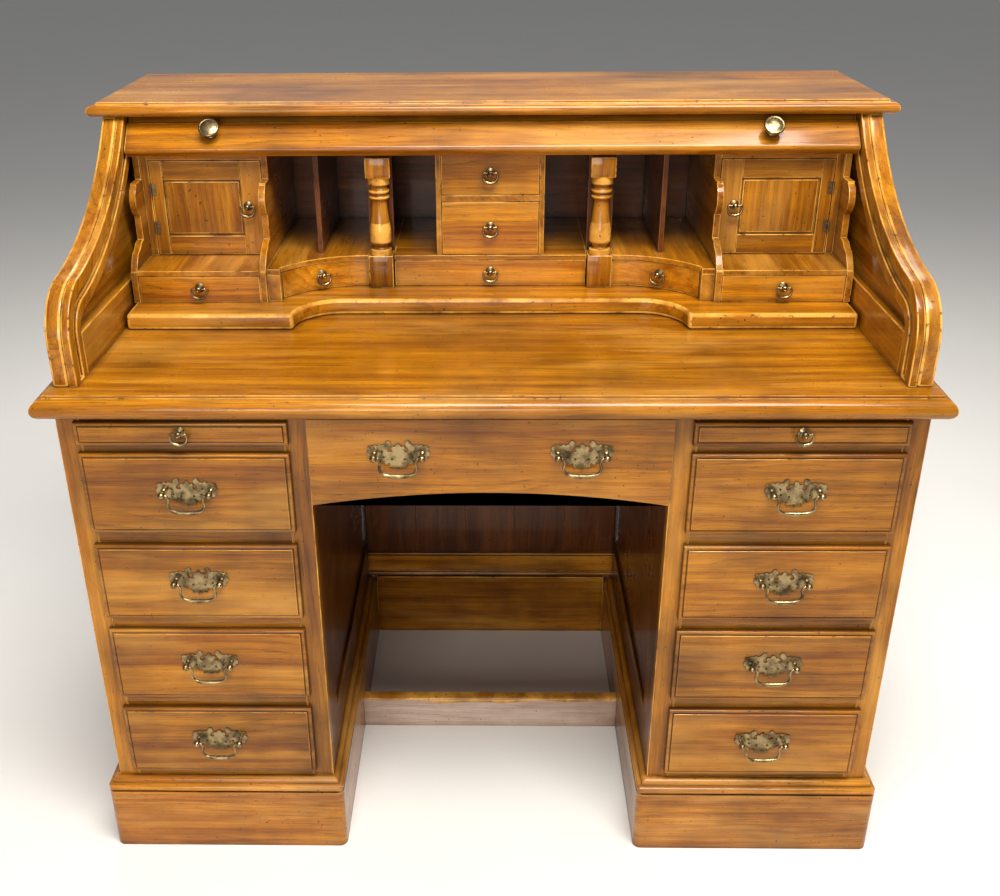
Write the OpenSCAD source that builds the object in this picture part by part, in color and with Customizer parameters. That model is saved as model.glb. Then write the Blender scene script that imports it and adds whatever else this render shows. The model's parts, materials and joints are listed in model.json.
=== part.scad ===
// Roll top desk: two drawer pedestals on plinths, a kneehole, a moulded writing top and an
// S-shaped roll section with its fitted gallery. Millimetres, +Z up, front of the desk faces -Y.
// The origin is on the floor, in the middle of the desk's footprint.
// Inside each module Y counts back from the front of the plinths; place() moves it to the origin.

/* [Case] */
// Height of the writing surface above the floor
writing_height = 775; // [740:1:800]
// Height of the top board's upper face above the floor
total_height = 1082; // [1000:1:1150]
// Width over the outer faces of the two pedestals
case_width = 1150; // [1000:1:1500]
// Depth from the plinth fronts to the back of the case
case_depth = 675; // [600:1:800]
// Width of the kneehole between the pedestals
kneehole_width = 484; // [420:1:700]
// How far the case stands back from the plinth front
case_setback = 18; // [10:1:30]

/* [Writing top] */
// Thickness of the writing top
top_thickness = 33; // [25:1:40]
// How far the writing top's edge stands out past the pedestal sides
top_overhang = 23; // [15:1:40]
// How far the writing top's edge stands out past the plinth front
top_nose = 6; // [0:1:20]
// Radius of the rounded nose worked on the writing top's edge
top_nose_r = 13.5; // [8:0.5:15]

/* [Plinths] */
// Height of the plinths with their moulding
plinth_height = 130; // [80:1:160]
// How far a plinth stands out past the case sides
plinth_out = 17; // [10:1:25]
// Thickness of a plinth board
plinth_board = 22; // [18:1:28]
// Radius of a plinth's upright corners
plinth_corner_r = 12; // [4:1:20]

/* [Pedestal frames] */
// Thickness of the face frame
frame_t = 20; // [16:1:26]
// Width of the face frame's upright stiles
stile_w = 31; // [24:1:45]
// Thickness of the framed sides
side_t = 20; // [16:1:26]
// Width of the stiles and rails in the framed sides
side_rail_w = 60; // [40:1:80]

/* [Pedestal drawers] */
// Height of one pedestal drawer front
drawer_front_h = 121.5; // [100:0.5:140]
// Distance from one drawer front to the next
drawer_pitch = 141.5; // [120:0.5:160]
// Height of the lowest drawer front's lower edge
drawer_low_z = 144; // [134:1:160]
// How far a drawer's lip covers the face frame all round
lip = 6; // [3:0.5:10]
// Thickness of the lip in front of the face frame
lip_t = 9.7; // [6:0.1:14]
// Depth of a pedestal drawer's box behind the face frame
drawer_box_depth = 560; // [450:5:600]
// Thickness of a drawer's sides and back
drawer_side_t = 12; // [8:1:15]
// Height of the pull-out writing slide's front
slide_front_h = 34; // [24:1:40]
// Height of the centre drawer's front at its ends
centre_drawer_h = 128; // [100:1:140]
// Rise of the arch under the centre drawer's front
arch_rise = 20; // [0:1:30]

/* [Foot rail and back] */
// Distance from the plinth front to the foot rail
foot_rail_y = 290; // [200:1:400]
// Height of the foot rail
foot_rail_h = 62; // [40:1:90]
// Thickness of the foot rail
foot_rail_t = 20; // [16:1:28]
// Distance from the plinth front to the kneehole's back board
knee_back_y = 583; // [500:1:640]

/* [Roll section] */
// Thickness of the S-shaped sides
roll_side_t = 33; // [24:1:40]
// Distance of the sides' front foot from the plinth front
roll_foot_y = 35; // [20:1:60]
// Radius of the lower, outward curve
roll_r_low = 75; // [50:1:120]
// Height of the lower curve's centre above the writing top
roll_low_up = 55; // [20:1:90]
// Radius of the upper, hollow curve
roll_r_up = 460; // [300:5:600]
// Slope at which the two curves meet, in degrees
roll_meet_deg = 8; // [0:1:20]
// Width of the curved front member of a side
roll_band_w = 46; // [35:1:70]
// Depth of the tambour groove below the curved edge
groove_in = 18; // [10:1:30]
// Width of the tambour groove
groove_w = 12; // [8:1:16]
// Thickness of the top board
top_board_t = 20; // [16:1:28]
// Distance of the top board's front edge from the plinth front
top_board_y = 374; // [330:1:420]
// How far the top board stands out past the roll sides
top_board_out = 20; // [10:1:30]

/* [Tambour] */
// Width of the lead rail along the curve
lead_w = 48; // [35:1:60]
// Thickness of the lead rail
lead_t = 16; // [14:1:20]
// Slope angle at which the lead rail is parked
lead_deg = 46.3; // [40:0.1:52]
// Width of one slat
slat_w = 15; // [10:1:25]
// Thickness of one slat
slat_t = 10; // [6:1:12]
// Distance from one slat to the next
slat_pitch = 16.5; // [12:0.5:26]
// Number of slats stored behind the gallery
slat_count = 25; // [10:1:40]
// Distance between the two tambour knobs
knob_spacing = 830; // [500:5:900]

/* [Gallery] */
// Thickness of the gallery's stepped base board
base_t = 24; // [16:1:30]
// Distance of the gallery shelf above the base board
shelf_up = 42; // [30:1:60]
// Thickness of the gallery shelf
shelf_t = 8; // [6:1:12]
// Height of the gallery above the shelf
gallery_h = 159; // [120:1:180]
// Depth position of the cupboard drawers' fronts
wing_y = 305; // [280:1:340]
// Depth position of the centre drawers' fronts
stack_y = 388; // [360:1:420]
// Depth position of the cupboard doors
door_y = 390; // [360:1:420]
// Thickness of the gallery's partitions
part_t = 8; // [6:1:12]
// Depth position of the gallery's back board
gallery_back_y = 612; // [560:1:630]

/* [Handles] */
// Distance between a bail handle's posts
bail_bore = 64; // [50:1:90]
// Drop of the bail below its posts
bail_drop = 26; // [14:1:30]
// Thickness of the bail's rod
bail_rod = 4.5; // [3:0.5:6]
// How far the posts stand out from the drawer front
post_out = 14; // [10:1:20]
// Diameter of the posts' rounded heads
post_head = 12; // [8:1:16]
// How far a drop ring's axis stands out from its front
ring_out = 9; // [7:0.5:12]
// Radius of the small drop rings
ring_r = 8; // [6:0.5:12]

/* [Hidden] */
$fn = 96;
eps = 0.3;                       // clearance between pieces that move past each other
glue = 0.02;                     // half of the glue line between two boards of one piece
curve_glue = 0.1;                // the same on a curved joint
cx = case_width / 2;             // outer face of a pedestal
kx = kneehole_width / 2;         // inner face of a pedestal
face_y = case_setback;           // front of the face frames
front_y = face_y - eps - lip_t;  // front of the lipped drawers
under = writing_height - top_thickness;
wt = writing_height;
head_r = post_head / 2;
y_mid = (case_depth + front_y - post_out - head_r) / 2;
open_h = drawer_front_h - 2 * lip;
open_x0 = -cx + stile_w;
open_x1 = -kx - stile_w;
ped_mid = (open_x0 + open_x1) / 2;
slot_z0 = 708;
slot_z1 = 730;
// centres of the two curves of the roll sides
c2y = roll_foot_y + roll_r_low;
c2z = wt + roll_low_up;
c1y = c2y - (roll_r_low + roll_r_up) * sin(roll_meet_deg);
c1z = c2z + (roll_r_low + roll_r_up) * cos(roll_meet_deg);
roll_top = total_height - top_board_t;
sx = cx + 2;                     // outer face of a roll side
ix = sx - roll_side_t;           // inner face of a roll side
tam_x = ix - 0.6;                // half length of the slats
lead_r = roll_r_up + 12 + lead_t / 2;
slat_r = roll_r_up + groove_in + groove_w / 2;
base_z = wt + base_t;
shelf_z = base_z + shelf_up;
cup_z = shelf_z + shelf_t;       // floor of the cupboards and pigeonholes
gal_top = cup_z + gallery_h;
stack_top = gal_top - 3.2;       // the upper drawer passes under the parked lead rail
door_top = gal_top - 12.8;       // the cupboard doors stop under a fixed rail
function dz(k) = drawer_low_z + (4 - k) * drawer_pitch; // lower edge of drawer k, 1 is the top one

oak = [0.72, 0.47, 0.2];
oak_dark = [0.55, 0.33, 0.14];
brass = [0.5, 0.45, 0.35];

// ---- helpers ---------------------------------------------------------------------------

module place() { translate([0, -y_mid, 0]) children(); }
// section drawn in (Y, Z), run along X
module along_x(x0, x1) { translate([x0, 0, 0]) rotate([90, 0, 90]) linear_extrude(x1 - x0) children(); }
// section drawn in (X, Z), run along Y
module along_y(y0, y1) { translate([0, y1, 0]) rotate([90, 0, 0]) linear_extrude(y1 - y0) children(); }
module block(x0, x1, y0, y1, z0, z1) { translate([x0, y0, z0]) cube([x1 - x0, y1 - y0, z1 - z0]); }
// one board: drawn to its nominal size, less a glue line on each face, so that it stays its own solid
module board(x0, x1, y0, y1, z0, z1) { block(x0 + glue, x1 - glue, y0 + glue, y1 - glue, z0 + glue, z1 - glue); }
module rect(a0, a1, b0, b1) { translate([a0, b0]) square([a1 - a0, b1 - b0]); }
module flip() { mirror([1, 0, 0]) children(); }
// a disc at (y, z) in a section
module disc(y, z, r) { translate([y, z]) circle(r); }

// A lipped front: thumbnail moulding worked round all four edges, with a thicker middle behind
// that enters the opening. Front face at y0.
module lipped_front(x0, x1, z0, z1, y0, back_t) {
  r = 3.2;
  intersection() {
    along_x(x0, x1) union() {
      rect(y0 + r, y0 + lip_t, z0, z1);
      rect(y0, y0 + r, z0 + 2 * r, z1 - 2 * r);
      rect(y0 + 0.8, y0 + r, z0 + r, z1 - r);
      disc(y0 + r + 0.8, z0 + r, r); disc(y0 + r + 0.8, z1 - r, r);
    }
    along_y(y0, y0 + lip_t) rect(x0, x1, z0, z1);
    union() {
      block(x0 + 2 * r, x1 - 2 * r, y0, y0 + lip_t, z0, z1);
      block(x0 + r, x1 - r, y0 + 0.8, y0 + lip_t, z0, z1);
      block(x0, x1, y0 + r, y0 + lip_t, z0, z1);
      translate([x0 + r, y0 + r + 0.8, z0]) cylinder(h = z1 - z0, r = r);
      translate([x1 - r, y0 + r + 0.8, z0]) cylinder(h = z1 - z0, r = r);
    }
  }
  board(x0 + lip + eps, x1 - lip - eps, y0 + lip_t, y0 + lip_t + back_t, z0 + lip + eps, z1 - lip - eps);
}

// Drawer box behind a front: two sides, a back and a bottom, as separate boards.
module drawer_box(x0, x1, y0, y1, z0, z1, t) {
  board(x0, x0 + t, y0, y1, z0, z1);
  board(x1 - t, x1, y0, y1, z0, z1);
  board(x0 + t, x1 - t, y1 - t, y1, z0, z1);
  board(x0 + t, x1 - t, y0, y1 - t, z0, z0 + t / 2);
}

// ---- handles ---------------------------------------------------------------------------

// Pierced-outline back plate and its two posts, on a front whose face is at y.
module bat_wing_plate(x, y, z) {
  b = bail_bore / 2;
  translate([x, y - glue, z]) {
    rotate([90, 0, 0]) linear_extrude(1.6) union() {
      translate([-b, 0]) circle(9.5);
      translate([b, 0]) circle(9.5);
      translate([0, -5]) circle(15);
      translate([-18, -4]) circle(10);
      translate([18, -4]) circle(10);
      translate([-15, 6]) circle(7);
      translate([15, 6]) circle(7);
      translate([0, 8]) circle(6.5);
      rect(-b, b, -7, 6);
    }
    for (s = [-1, 1]) translate([s * b, 0, 0]) difference() {
      union() {
        translate([0, -1.6 - 2 * glue, 0]) rotate([90, 0, 0]) cylinder(h = post_out - 1.6, r = 3.6);
        translate([0, -post_out, 0]) sphere(head_r);
      }
      // blind hole for the end of the bail
      translate([s * -7, -post_out, 0]) rotate([0, s * 90, 0]) cylinder(h = 7 + 3, r = 1.7);
    }
  }
}

// Bail hanging from its two pins, in the frame of its own turning axis.
module bail(x, y, z) {
  b = bail_bore / 2;
  r = bail_rod / 2;
  w = b - 8.4;       // half width of the hanging loop
  c = 13;            // corner radius
  translate([x, y - post_out, z]) {
    for (s = [-1, 1]) {
      translate([s * (w - 1), 0, 0]) rotate([0, s * 90, 0]) cylinder(h = b - w + 3, r = 1.6);
      translate([s * w, 0, c - bail_drop]) cylinder(h = bail_drop - c + 1.6, r = r);
    }
    translate([-(w - c), 0, c - bail_drop]) rotate([90, 0, 0]) rotate([0, 0, 180])
      rotate_extrude(angle = 90) translate([c, 0]) circle(r);
    translate([w - c, 0, c - bail_drop]) rotate([90, 0, 0]) rotate([0, 0, 270])
      rotate_extrude(angle = 90) translate([c, 0]) circle(r);
    translate([-(w - c), 0, -bail_drop]) rotate([0, 90, 0]) cylinder(h = 2 * (w - c), r = r);
  }
}

// Round rose with a short post and cross barrel for a drop ring. a turns it to face a slanted front.
module ring_rose(x, y, z, a = 0) {
  translate([x, y - glue, z]) rotate([0, 0, a]) difference() {
    union() {
      rotate([90, 0, 0]) cylinder(h = 1.8, r = 7);
      rotate([90, 0, 0]) cylinder(h = 3.4, r = 4.6);
      rotate([90, 0, 0]) cylinder(h = ring_out, r = 2);
      translate([-2.4, -ring_out, 0]) rotate([0, 90, 0]) cylinder(h = 4.8, r = 2.8);
    }
    translate([-4, -ring_out, 0]) rotate([0, 90, 0]) cylinder(h = 8, r = 1.05);
  }
}

// Open ring whose two ends turn in to the barrel.
module drop_ring(x, y, z, a = 0) {
  mouth = 61; // half angle left open at the top
  translate([x, y, z]) rotate([0, 0, a]) translate([0, -ring_out, 0]) {
    translate([0, 0, -ring_r * sin(mouth)]) rotate([90, 0, 0]) rotate([0, 0, 180 - mouth])
      rotate_extrude(angle = 180 + 2 * mouth) translate([ring_r, 0]) circle(1.1);
    for (s = [-1, 1]) translate([s * 0.9, 0, 0]) rotate([0, s * 90, 0])
      cylinder(h = ring_r * cos(mouth) - 0.3, r = 1);
  }
}

// ---- writing top, top board, plinths -----------------------------------------------------

// Half section of an edge: moulded end at a = 0, running inwards to a = len.
module desk_edge(len) {
  disc(top_nose_r, under + 1.5 + top_nose_r, top_nose_r);
  rect(top_nose_r, len, under + 1.5, under + 1.5 + 2 * top_nose_r);
  rect(top_nose_r + 1, len, under, writing_height);
}
module desktop() color(oak) place() {
  w = cx + top_overhang;
  intersection() {
    along_x(-w, w) translate([-top_nose, 0]) desk_edge(case_depth + top_nose);
    along_y(-top_nose, case_depth) union() {
      translate([-w, 0]) desk_edge(w + 1);
      mirror([1, 0]) translate([-w, 0]) desk_edge(w + 1);
    }
  }
}

module top_edge(len) {
  r = 8;
  disc(r, roll_top + r, r);
  rect(r, len, roll_top, roll_top + 2 * r);
  rect(r + 5, len, roll_top, total_height);
}
module top_board() color(oak) place() {
  w = sx + top_board_out;
  intersection() {
    along_x(-w, w) translate([top_board_y, 0]) top_edge(case_depth - top_board_y);
    along_y(top_board_y, case_depth) union() {
      translate([-w, 0]) top_edge(w + 1);
      mirror([1, 0]) translate([-w, 0]) top_edge(w + 1);
    }
  }
}

module plinth_edge(len) {
  rect(0, len, 0, 109);
  disc(6, 115, 6);
  rect(6, len, 109, 121);
  disc(16, plinth_height - 8, 8);
  rect(16, len, 121, plinth_height);
}
module plinth_block() {
  x0 = -cx - plinth_out; x1 = -kx + plinth_out - 1;
  intersection() {
    along_x(x0, x1) translate([0, 0]) plinth_edge(case_depth);
    along_y(0, case_depth) union() {
      translate([x0, 0]) plinth_edge(120);
      translate([x1, 0]) mirror([1, 0]) plinth_edge(x1 - x0 - 119);
    }
    linear_extrude(plinth_height) union() {
      r = plinth_corner_r;
      rect(x0 + r, x1 - r, 0, case_depth);
      rect(x0, x1, r, case_depth);
      disc(x0 + r, r, r);
      disc(x1 - r, r, r);
    }
  }
}
module plinth() {
  x0 = -cx - plinth_out; x1 = -kx + plinth_out - 1; t = plinth_board;
  intersection() { plinth_block(); board(x0, x1, 0, t, 0, plinth_height); }
  intersection() { plinth_block(); board(x0, x1, case_depth - t, case_depth, 0, plinth_height); }
  intersection() { plinth_block(); board(x0, x0 + t, t, case_depth - t, 0, plinth_height); }
  intersection() { plinth_block(); board(x1 - t, x1, t, case_depth - t, 0, plinth_height); }
}
module left_plinth() color(oak) place() plinth();
module right_plinth() color(oak) place() flip() plinth();

// ---- pedestals ---------------------------------------------------------------------------

module framed_side(x0, x1) {
  t = (x1 - x0 - 10) / 2;
  y0 = face_y + frame_t; y1 = case_depth; w = side_rail_w;
  board(x0, x1, y0, y0 + w, plinth_height, under);
  board(x0, x1, y1 - w, y1, plinth_height, under);
  board(x0, x1, y0 + w, y1 - w, plinth_height, plinth_height + w + 10);
  board(x0, x1, y0 + w, y1 - w, under - w, under);
  board(x0 + t, x1 - t, y0 + w, y1 - w, plinth_height + w + 10, under - w);
}
module pedestal() {
  board(-cx, open_x0, face_y, face_y + frame_t, plinth_height, under);
  board(open_x1, -kx, face_y, face_y + frame_t, plinth_height, under);
  board(open_x0, open_x1, face_y, face_y + frame_t, plinth_height, dz(4) + lip);
  for (k = [2:4]) board(open_x0, open_x1, face_y, face_y + frame_t, dz(k) + drawer_front_h - lip, dz(k - 1) + lip);
  board(open_x0, open_x1, face_y, face_y + frame_t, dz(1) + drawer_front_h - lip, slot_z0);
  board(open_x0, open_x1, face_y, face_y + frame_t, slot_z1, under);
  framed_side(-cx, -cx + side_t);
  framed_side(-kx - side_t, -kx);
  board(-cx + side_t, -kx - side_t, case_depth - 16, case_depth, plinth_height, under);
  board(-cx + side_t, -kx - side_t, face_y + frame_t, case_depth - 16, plinth_height, plinth_height + 10);
}
module left_pedestal() color(oak) place() pedestal();
module right_pedestal() color(oak) place() flip() pedestal();

// Strips the drawers and slides run on.
module side_runners() {
  y0 = face_y + frame_t; y1 = case_depth - 16;
  for (k = [1:4]) {
    z1 = dz(k) + lip;
    z0 = k == 4 ? plinth_height + 10 : z1 - 14;
    board(-cx + side_t, open_x0 + 12, y0, y1, z0, z1);
    board(open_x1 - 12, -kx - side_t, y0, y1, z0, z1);
  }
  board(-cx + side_t, open_x0 + 12, y0, y1, slot_z0 - 12, slot_z0);
  board(open_x1 - 12, -kx - side_t, y0, y1, slot_z0 - 12, slot_z0);
  // under the centre drawer, on the kneehole side
  board(-kx, -kx + 22, face_y + frame_t, knee_back_y, 634, 646);
}
module drawer_runners() color(oak_dark) place() { side_runners(); flip() side_runners(); }

module drawer_boards(k) {
  x0 = open_x0 - lip; x1 = open_x1 + lip; z0 = dz(k); z1 = z0 + drawer_front_h;
  yb = front_y + lip_t + 12;
  lipped_front(x0, x1, z0, z1, front_y, 12);
  drawer_box(open_x0 + 1, open_x1 - 1, yb, yb + drawer_box_depth, z0 + lip + eps, z1 - lip - 6, drawer_side_t);
}
// side is -1 for the left pedestal and 1 for the right one
module pedestal_drawer(k, side) {
  if (side < 0) drawer_boards(k); else flip() drawer_boards(k);
  bat_wing_plate(-side * ped_mid, front_y, dz(k) + drawer_front_h / 2 + 6);
}
module left_drawer_1() color(oak) place() pedestal_drawer(1, -1);
module left_drawer_2() color(oak) place() pedestal_drawer(2, -1);
module left_drawer_3() color(oak) place() pedestal_drawer(3, -1);
module left_drawer_4() color(oak) place() pedestal_drawer(4, -1);
module right_drawer_1() color(oak) place() pedestal_drawer(1, 1);
module right_drawer_2() color(oak) place() pedestal_drawer(2, 1);
module right_drawer_3() color(oak) place() pedestal_drawer(3, 1);
module right_drawer_4() color(oak) place() pedestal_drawer(4, 1);

// Pull-out writing board behind a lipped edge.
module slide() {
  z0 = slot_z0 - lip; z1 = z0 + slide_front_h;
  lipped_front(open_x0 - lip, open_x1 + lip, z0, z1, front_y, 2);
  board(open_x0 + 1, open_x1 - 1, front_y + lip_t + 2, front_y + 540, slot_z0 + eps, slot_z1 - eps);
  ring_rose(ped_mid, front_y, z0 + slide_front_h / 2 + 4);
}
module left_slide() color(oak) place() slide();
module right_slide() color(oak) place() flip() slide();

// Drawer across the kneehole, its front cut to a low arch.
module centre_drawer() color(oak) place() {
  w = kx - 0.8; z1 = under - 1.5; z0 = z1 - centre_drawer_h; t = 19; y0 = front_y + 1;
  R = (w * w + arch_rise * arch_rise) / (2 * arch_rise);
  difference() {
    board(-w, w, y0, y0 + t, z0, z1);
    translate([0, y0 - 1, z0 + arch_rise - R]) rotate([-90, 0, 0]) cylinder(h = t + 2, r = R, $fn = 360);
  }
  drawer_box(-w + 26, w - 26, y0 + t, y0 + t + 520, 646.3, z1 - 6, drawer_side_t);
  // runners on the box's sides
  board(-w + 4, -w + 26, y0 + t, y0 + t + 520, 646.3, 656);
  board(w - 26, w - 4, y0 + t, y0 + t + 520, 646.3, 656);
  for (s = [-1, 1]) bat_wing_plate(s * 121.5, y0, 691);
}

// ---- kneehole ----------------------------------------------------------------------------

module kneehole_back() color(oak) place() {
  n = 5; w = kneehole_width / n; y = knee_back_y + 12;
  xp = kx - plinth_out + 1;
  for (i = [0:n - 1]) board(-kx + i * w, -kx + (i + 1) * w, y, y + 12, 181, under);
  along_x(-kx, kx) union() {
    rect(y - 8, y + 12, 145, 177);
    disc(y - 4, 179, 2);
    rect(y - 4, y + 12, 176.5, 181);
    rect(y - 4, y + 12, 141, 145);
    disc(y - 4, 143, 2);
  }
  board(-xp, xp, knee_back_y, y + 12, 0, plinth_height);
  along_x(-kx, kx) union() { rect(knee_back_y + 6, y + 12, plinth_height, 141 - 2 * glue); disc(knee_back_y + 7, 135.5, 5); }
}
module foot_rail() color(oak) place() {
  xp = kx - plinth_out + 1; y = foot_rail_y;
  along_x(-xp, xp) union() {
    rect(y, y + foot_rail_t, 0, foot_rail_h - 6);
    rect(y + 6, y + foot_rail_t, foot_rail_h - 6, foot_rail_h);
    disc(y + 6, foot_rail_h - 6, 6);
  }
}

// ---- roll section --------------------------------------------------------------------------

// Region behind the S curve moved inwards by d.
module s_region(d) {
  r2 = roll_r_low - d; r1 = roll_r_up + d; ym = c2y - r2 * sin(roll_meet_deg);
  rect(c2y - r2, c2y, wt, c2z);
  intersection() {
    disc(c2y, c2z, r2, $fn = 180);
    rect(c2y - r2, c2y + r2, wt, c2z + r2);
  }
  difference() {
    rect(ym, case_depth, wt, roll_top);
    disc(c1y, c1z, r1, $fn = 720);
  }
}
side_joint_low = 905;   // heights of the two glued joints in the curved front member
side_joint_high = 985;
module roll_side() {
  x0 = -sx; x1 = -ix; w = 60;
  // curved front member in three lengths, with the tambour groove in its inner face
  for (z = [[wt, side_joint_low], [side_joint_low, side_joint_high], [side_joint_high, roll_top]]) difference() {
    along_x(x0, x1) intersection() {
      difference() { s_region(0); s_region(roll_band_w); }
      rect(0, case_depth, z[0] + (z[0] > wt ? glue : 0), z[1] - (z[1] < roll_top ? glue : 0));
    }
    along_x(x1 - 6, x1 + 1) intersection() {
      difference() { s_region(groove_in); s_region(groove_in + groove_w); }
      rect(0, case_depth - 8, wt + 4, roll_top - 4);
    }
  }
  // rails, back stile and panel
  yb = case_depth - w - glue;
  along_x(x0, x1) intersection() { s_region(roll_band_w + curve_glue); rect(0, yb, wt, wt + w); }
  along_x(x0, x1) intersection() { s_region(roll_band_w + curve_glue); rect(0, yb, roll_top - 42, roll_top); }
  board(x0, x1, case_depth - w, case_depth, wt, roll_top);
  along_x(x0 + 11, x1 - 11) intersection() {
    s_region(roll_band_w + curve_glue);
    rect(0, yb, wt + w + 2 * glue, roll_top - 42 - 2 * glue);
  }
}
module left_roll_side() color(oak) place() roll_side();
module right_roll_side() color(oak) place() flip() roll_side();

module roll_back() color(oak) place() {
  y0 = case_depth - 18; y1 = case_depth; w = 55; p = 6;
  x = [-ix, -ix / 3, ix / 3, ix];
  board(-ix, ix, y0, y1, wt, wt + w);
  board(-ix, ix, y0, y1, roll_top - w, roll_top);
  for (s = [-1, 1]) {
    board(s < 0 ? -ix : ix - w, s < 0 ? -ix + w : ix, y0, y1, wt + w, roll_top - w);
    board(s * ix / 3 - w / 2, s * ix / 3 + w / 2, y0, y1, wt + w, roll_top - w);
  }
  board(-ix + w, -ix / 3 - w / 2, y0 + p, y1 - p, wt + w, roll_top - w);
  board(-ix / 3 + w / 2, ix / 3 - w / 2, y0 + p, y1 - p, wt + w, roll_top - w);
  board(ix / 3 + w / 2, ix - w, y0 + p, y1 - p, wt + w, roll_top - w);
}

// ---- tambour -------------------------------------------------------------------------------

// Frame of a piece lying on the hollow curve: first axis up the slope, second axis out of the desk.
module slat_section() { rect(-slat_w / 2, slat_w / 2, -slat_t / 2, slat_t / 2); }
module on_slope(deg, r) { translate([c1y + r * sin(deg), c1z - r * cos(deg)]) rotate(deg) children(); }

module tambour_lead_rail() color(oak) place() {
  along_x(-tam_x, tam_x) on_slope(lead_deg, lead_r) union() {
    a = lead_w / 2; b = lead_t / 2;
    rect(-a + 7, a, -b, b);
    rect(-a, a, -b, b - 7);
    disc(-a + 7, b - 7, 7);
  }
}
module tambour_knobs() color(brass) place() {
  y = c1y + lead_r * sin(lead_deg); z = c1z - lead_r * cos(lead_deg);
  for (s = [-1, 1]) translate([s * knob_spacing / 2, y, z]) rotate([lead_deg, 0, 0]) translate([0, 4, lead_t / 2])
    rotate_extrude() union() {
      rect(0, 9, 0, 2);
      rect(0, 4.6, 2, 12);
      rect(0, 15.4, 13, 16.5);
      rect(0, 10, 10.5, 13);
      rect(0, 12, 16.5, 18);
    }
}
module tambour_middle_slat() color(oak) place()
  along_x(-tam_x, tam_x) on_slope(lead_deg + 4, slat_r) slat_section();

// Slats parked flat under the top board and down the back, behind the gallery.
module tambour_slats() color(oak_dark) place() {
  z = roll_top - 12; y0 = 418 + slat_w / 2; flat = 12; r = 24;
  yc = y0 + (flat - 0.5) * slat_pitch; // where the turn begins
  for (i = [0:flat - 1])
    along_x(-tam_x, tam_x) translate([y0 + i * slat_pitch, z]) slat_section();
  along_x(-tam_x, tam_x) translate([yc, z - r]) rotate(-45) translate([0, r]) slat_section();
  for (i = [0:slat_count - flat - 2])
    along_x(-tam_x, tam_x) translate([yc + r, z - r - (i + 0.5) * slat_pitch]) rotate(-90) slat_section();
}

// ---- gallery -------------------------------------------------------------------------------

px_out = 541;   // outer face of the end partitions
px_in = 337;    // kneehole-side face of the cupboards' inner partitions
col_x0 = 150;   // inner edge of the column boards
col_x1 = 190;   // outer edge of the column boards
curve_r = 155;  // radius of the hollow fronts
col_w = 38;     // width of the columns' square blocks
col_d = 34;     // depth of the columns' square blocks
col_y = 376;    // front of the columns' square blocks
col_back = col_y + col_d + 0.5; // front of the boards behind the columns

// Plan of the base board: straight at both ends, hollow quarters back to the middle.
module base_plan() {
  y0 = 252; y1 = 320; r = 67;
  rect(-px_out + 1, px_out - 1, y1, gallery_back_y + 8);
  for (s = [-1, 1]) difference() {
    rect(s > 0 ? 225 : -px_out + 1, s > 0 ? px_out - 1 : -225, y0, y1 + 0.01);
    translate([s * 225, y1 - r]) circle(r);
    rect(s > 0 ? 224 : -225, s > 0 ? 225 : -224, y0 - 1, y1 - 0.01);
  }
}
module gallery_base() color(oak) place() {
  translate([0, 0, wt]) linear_extrude(base_t) base_plan();
}

// Partition with a flowing front edge: straight top, belly, waist, foot.
module scroll_partition(x0, x1) {
  yt = 388; yb = 346; yw = 356;
  along_x(x0, x1) difference() {
    union() {
      rect(yt, gallery_back_y, base_z, gal_top);
      rect(wing_y, yt, base_z, shelf_z + 6);
      rect(360, yt, shelf_z, 968);
      disc(yb + 26, 942, 26);
      intersection() { disc(wing_y + 60, shelf_z - 22, 64); rect(wing_y, yt, shelf_z, 900); }
    }
    disc(yw - 32, 903, 32);
  }
}
// Shelf in front of the pigeonholes: hollow towards the middle.
module curved_plan(x0, x1, y_front, y_back) {
  // for the left wing: hollow curve from the cupboard to the column
  difference() {
    rect(x0, x1, 313, y_back);
    difference() {
      rect(-317, x1 + 1, 0, y_front);
      difference() { rect(-317, curve_x, 0, y_front); translate([curve_x, y_front - curve_r]) circle(curve_r, $fn = 360); }
    }
  }
}
module gallery_half() {
  zt = gal_top; yb = gallery_back_y;
  scroll_partition(-px_out, -px_out + 10);
  scroll_partition(-px_in - 10, -px_in);
  // cupboard shelf
  board(-px_out + 10, -px_in - 10, wing_y, yb, shelf_z, cup_z);
  // hinge stile beside the door
  board(-px_out + 10, -px_out + 22, door_y, door_y + 12, cup_z, zt);
  // fixed rail above the door
  board(-px_out + 22, -px_in - 10, door_y, door_y + 12, door_top + 0.8, zt);
  // pigeonhole shelf wing
  translate([0, 0, shelf_z + glue]) linear_extrude(shelf_t - 2 * glue)
    curved_plan(-px_in + glue, -col_x1 - glue, 386, yb - glue);
  board(-col_x1, -col_x0, col_back, yb, shelf_z, cup_z);
  // small end block of the curved drawer
  board(-px_in, -317, 313, yb, base_z, shelf_z);
  // pigeonhole partition
  board(-270, -270 + part_t, 400, yb, cup_z, zt);
  // boards behind the column, above and below the shelf
  for (z = [[cup_z, zt], [base_z, shelf_z]]) {
    board(-col_x1 + 0.4, -col_x0 - 0.4, col_back, col_back + part_t, z[0], z[1]);
    board(-174, -174 + part_t, col_back + part_t, yb, z[0], z[1]);
  }
  // side of the drawer stack
  board(-83, -75, stack_y, yb, cup_z, zt);
}
module gallery_case() color(oak) place() {
  gallery_half();
  flip() gallery_half();
  board(-col_x0, col_x0, 386, gallery_back_y, shelf_z, cup_z);
  board(-75, 75, stack_y, gallery_back_y, 932, 942);
  board(-px_out, px_out, gallery_back_y, gallery_back_y + 8, base_z, gal_top);
  board(-px_out, px_out, 397, gallery_back_y + 8, gal_top, gal_top + 7);
}

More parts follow.
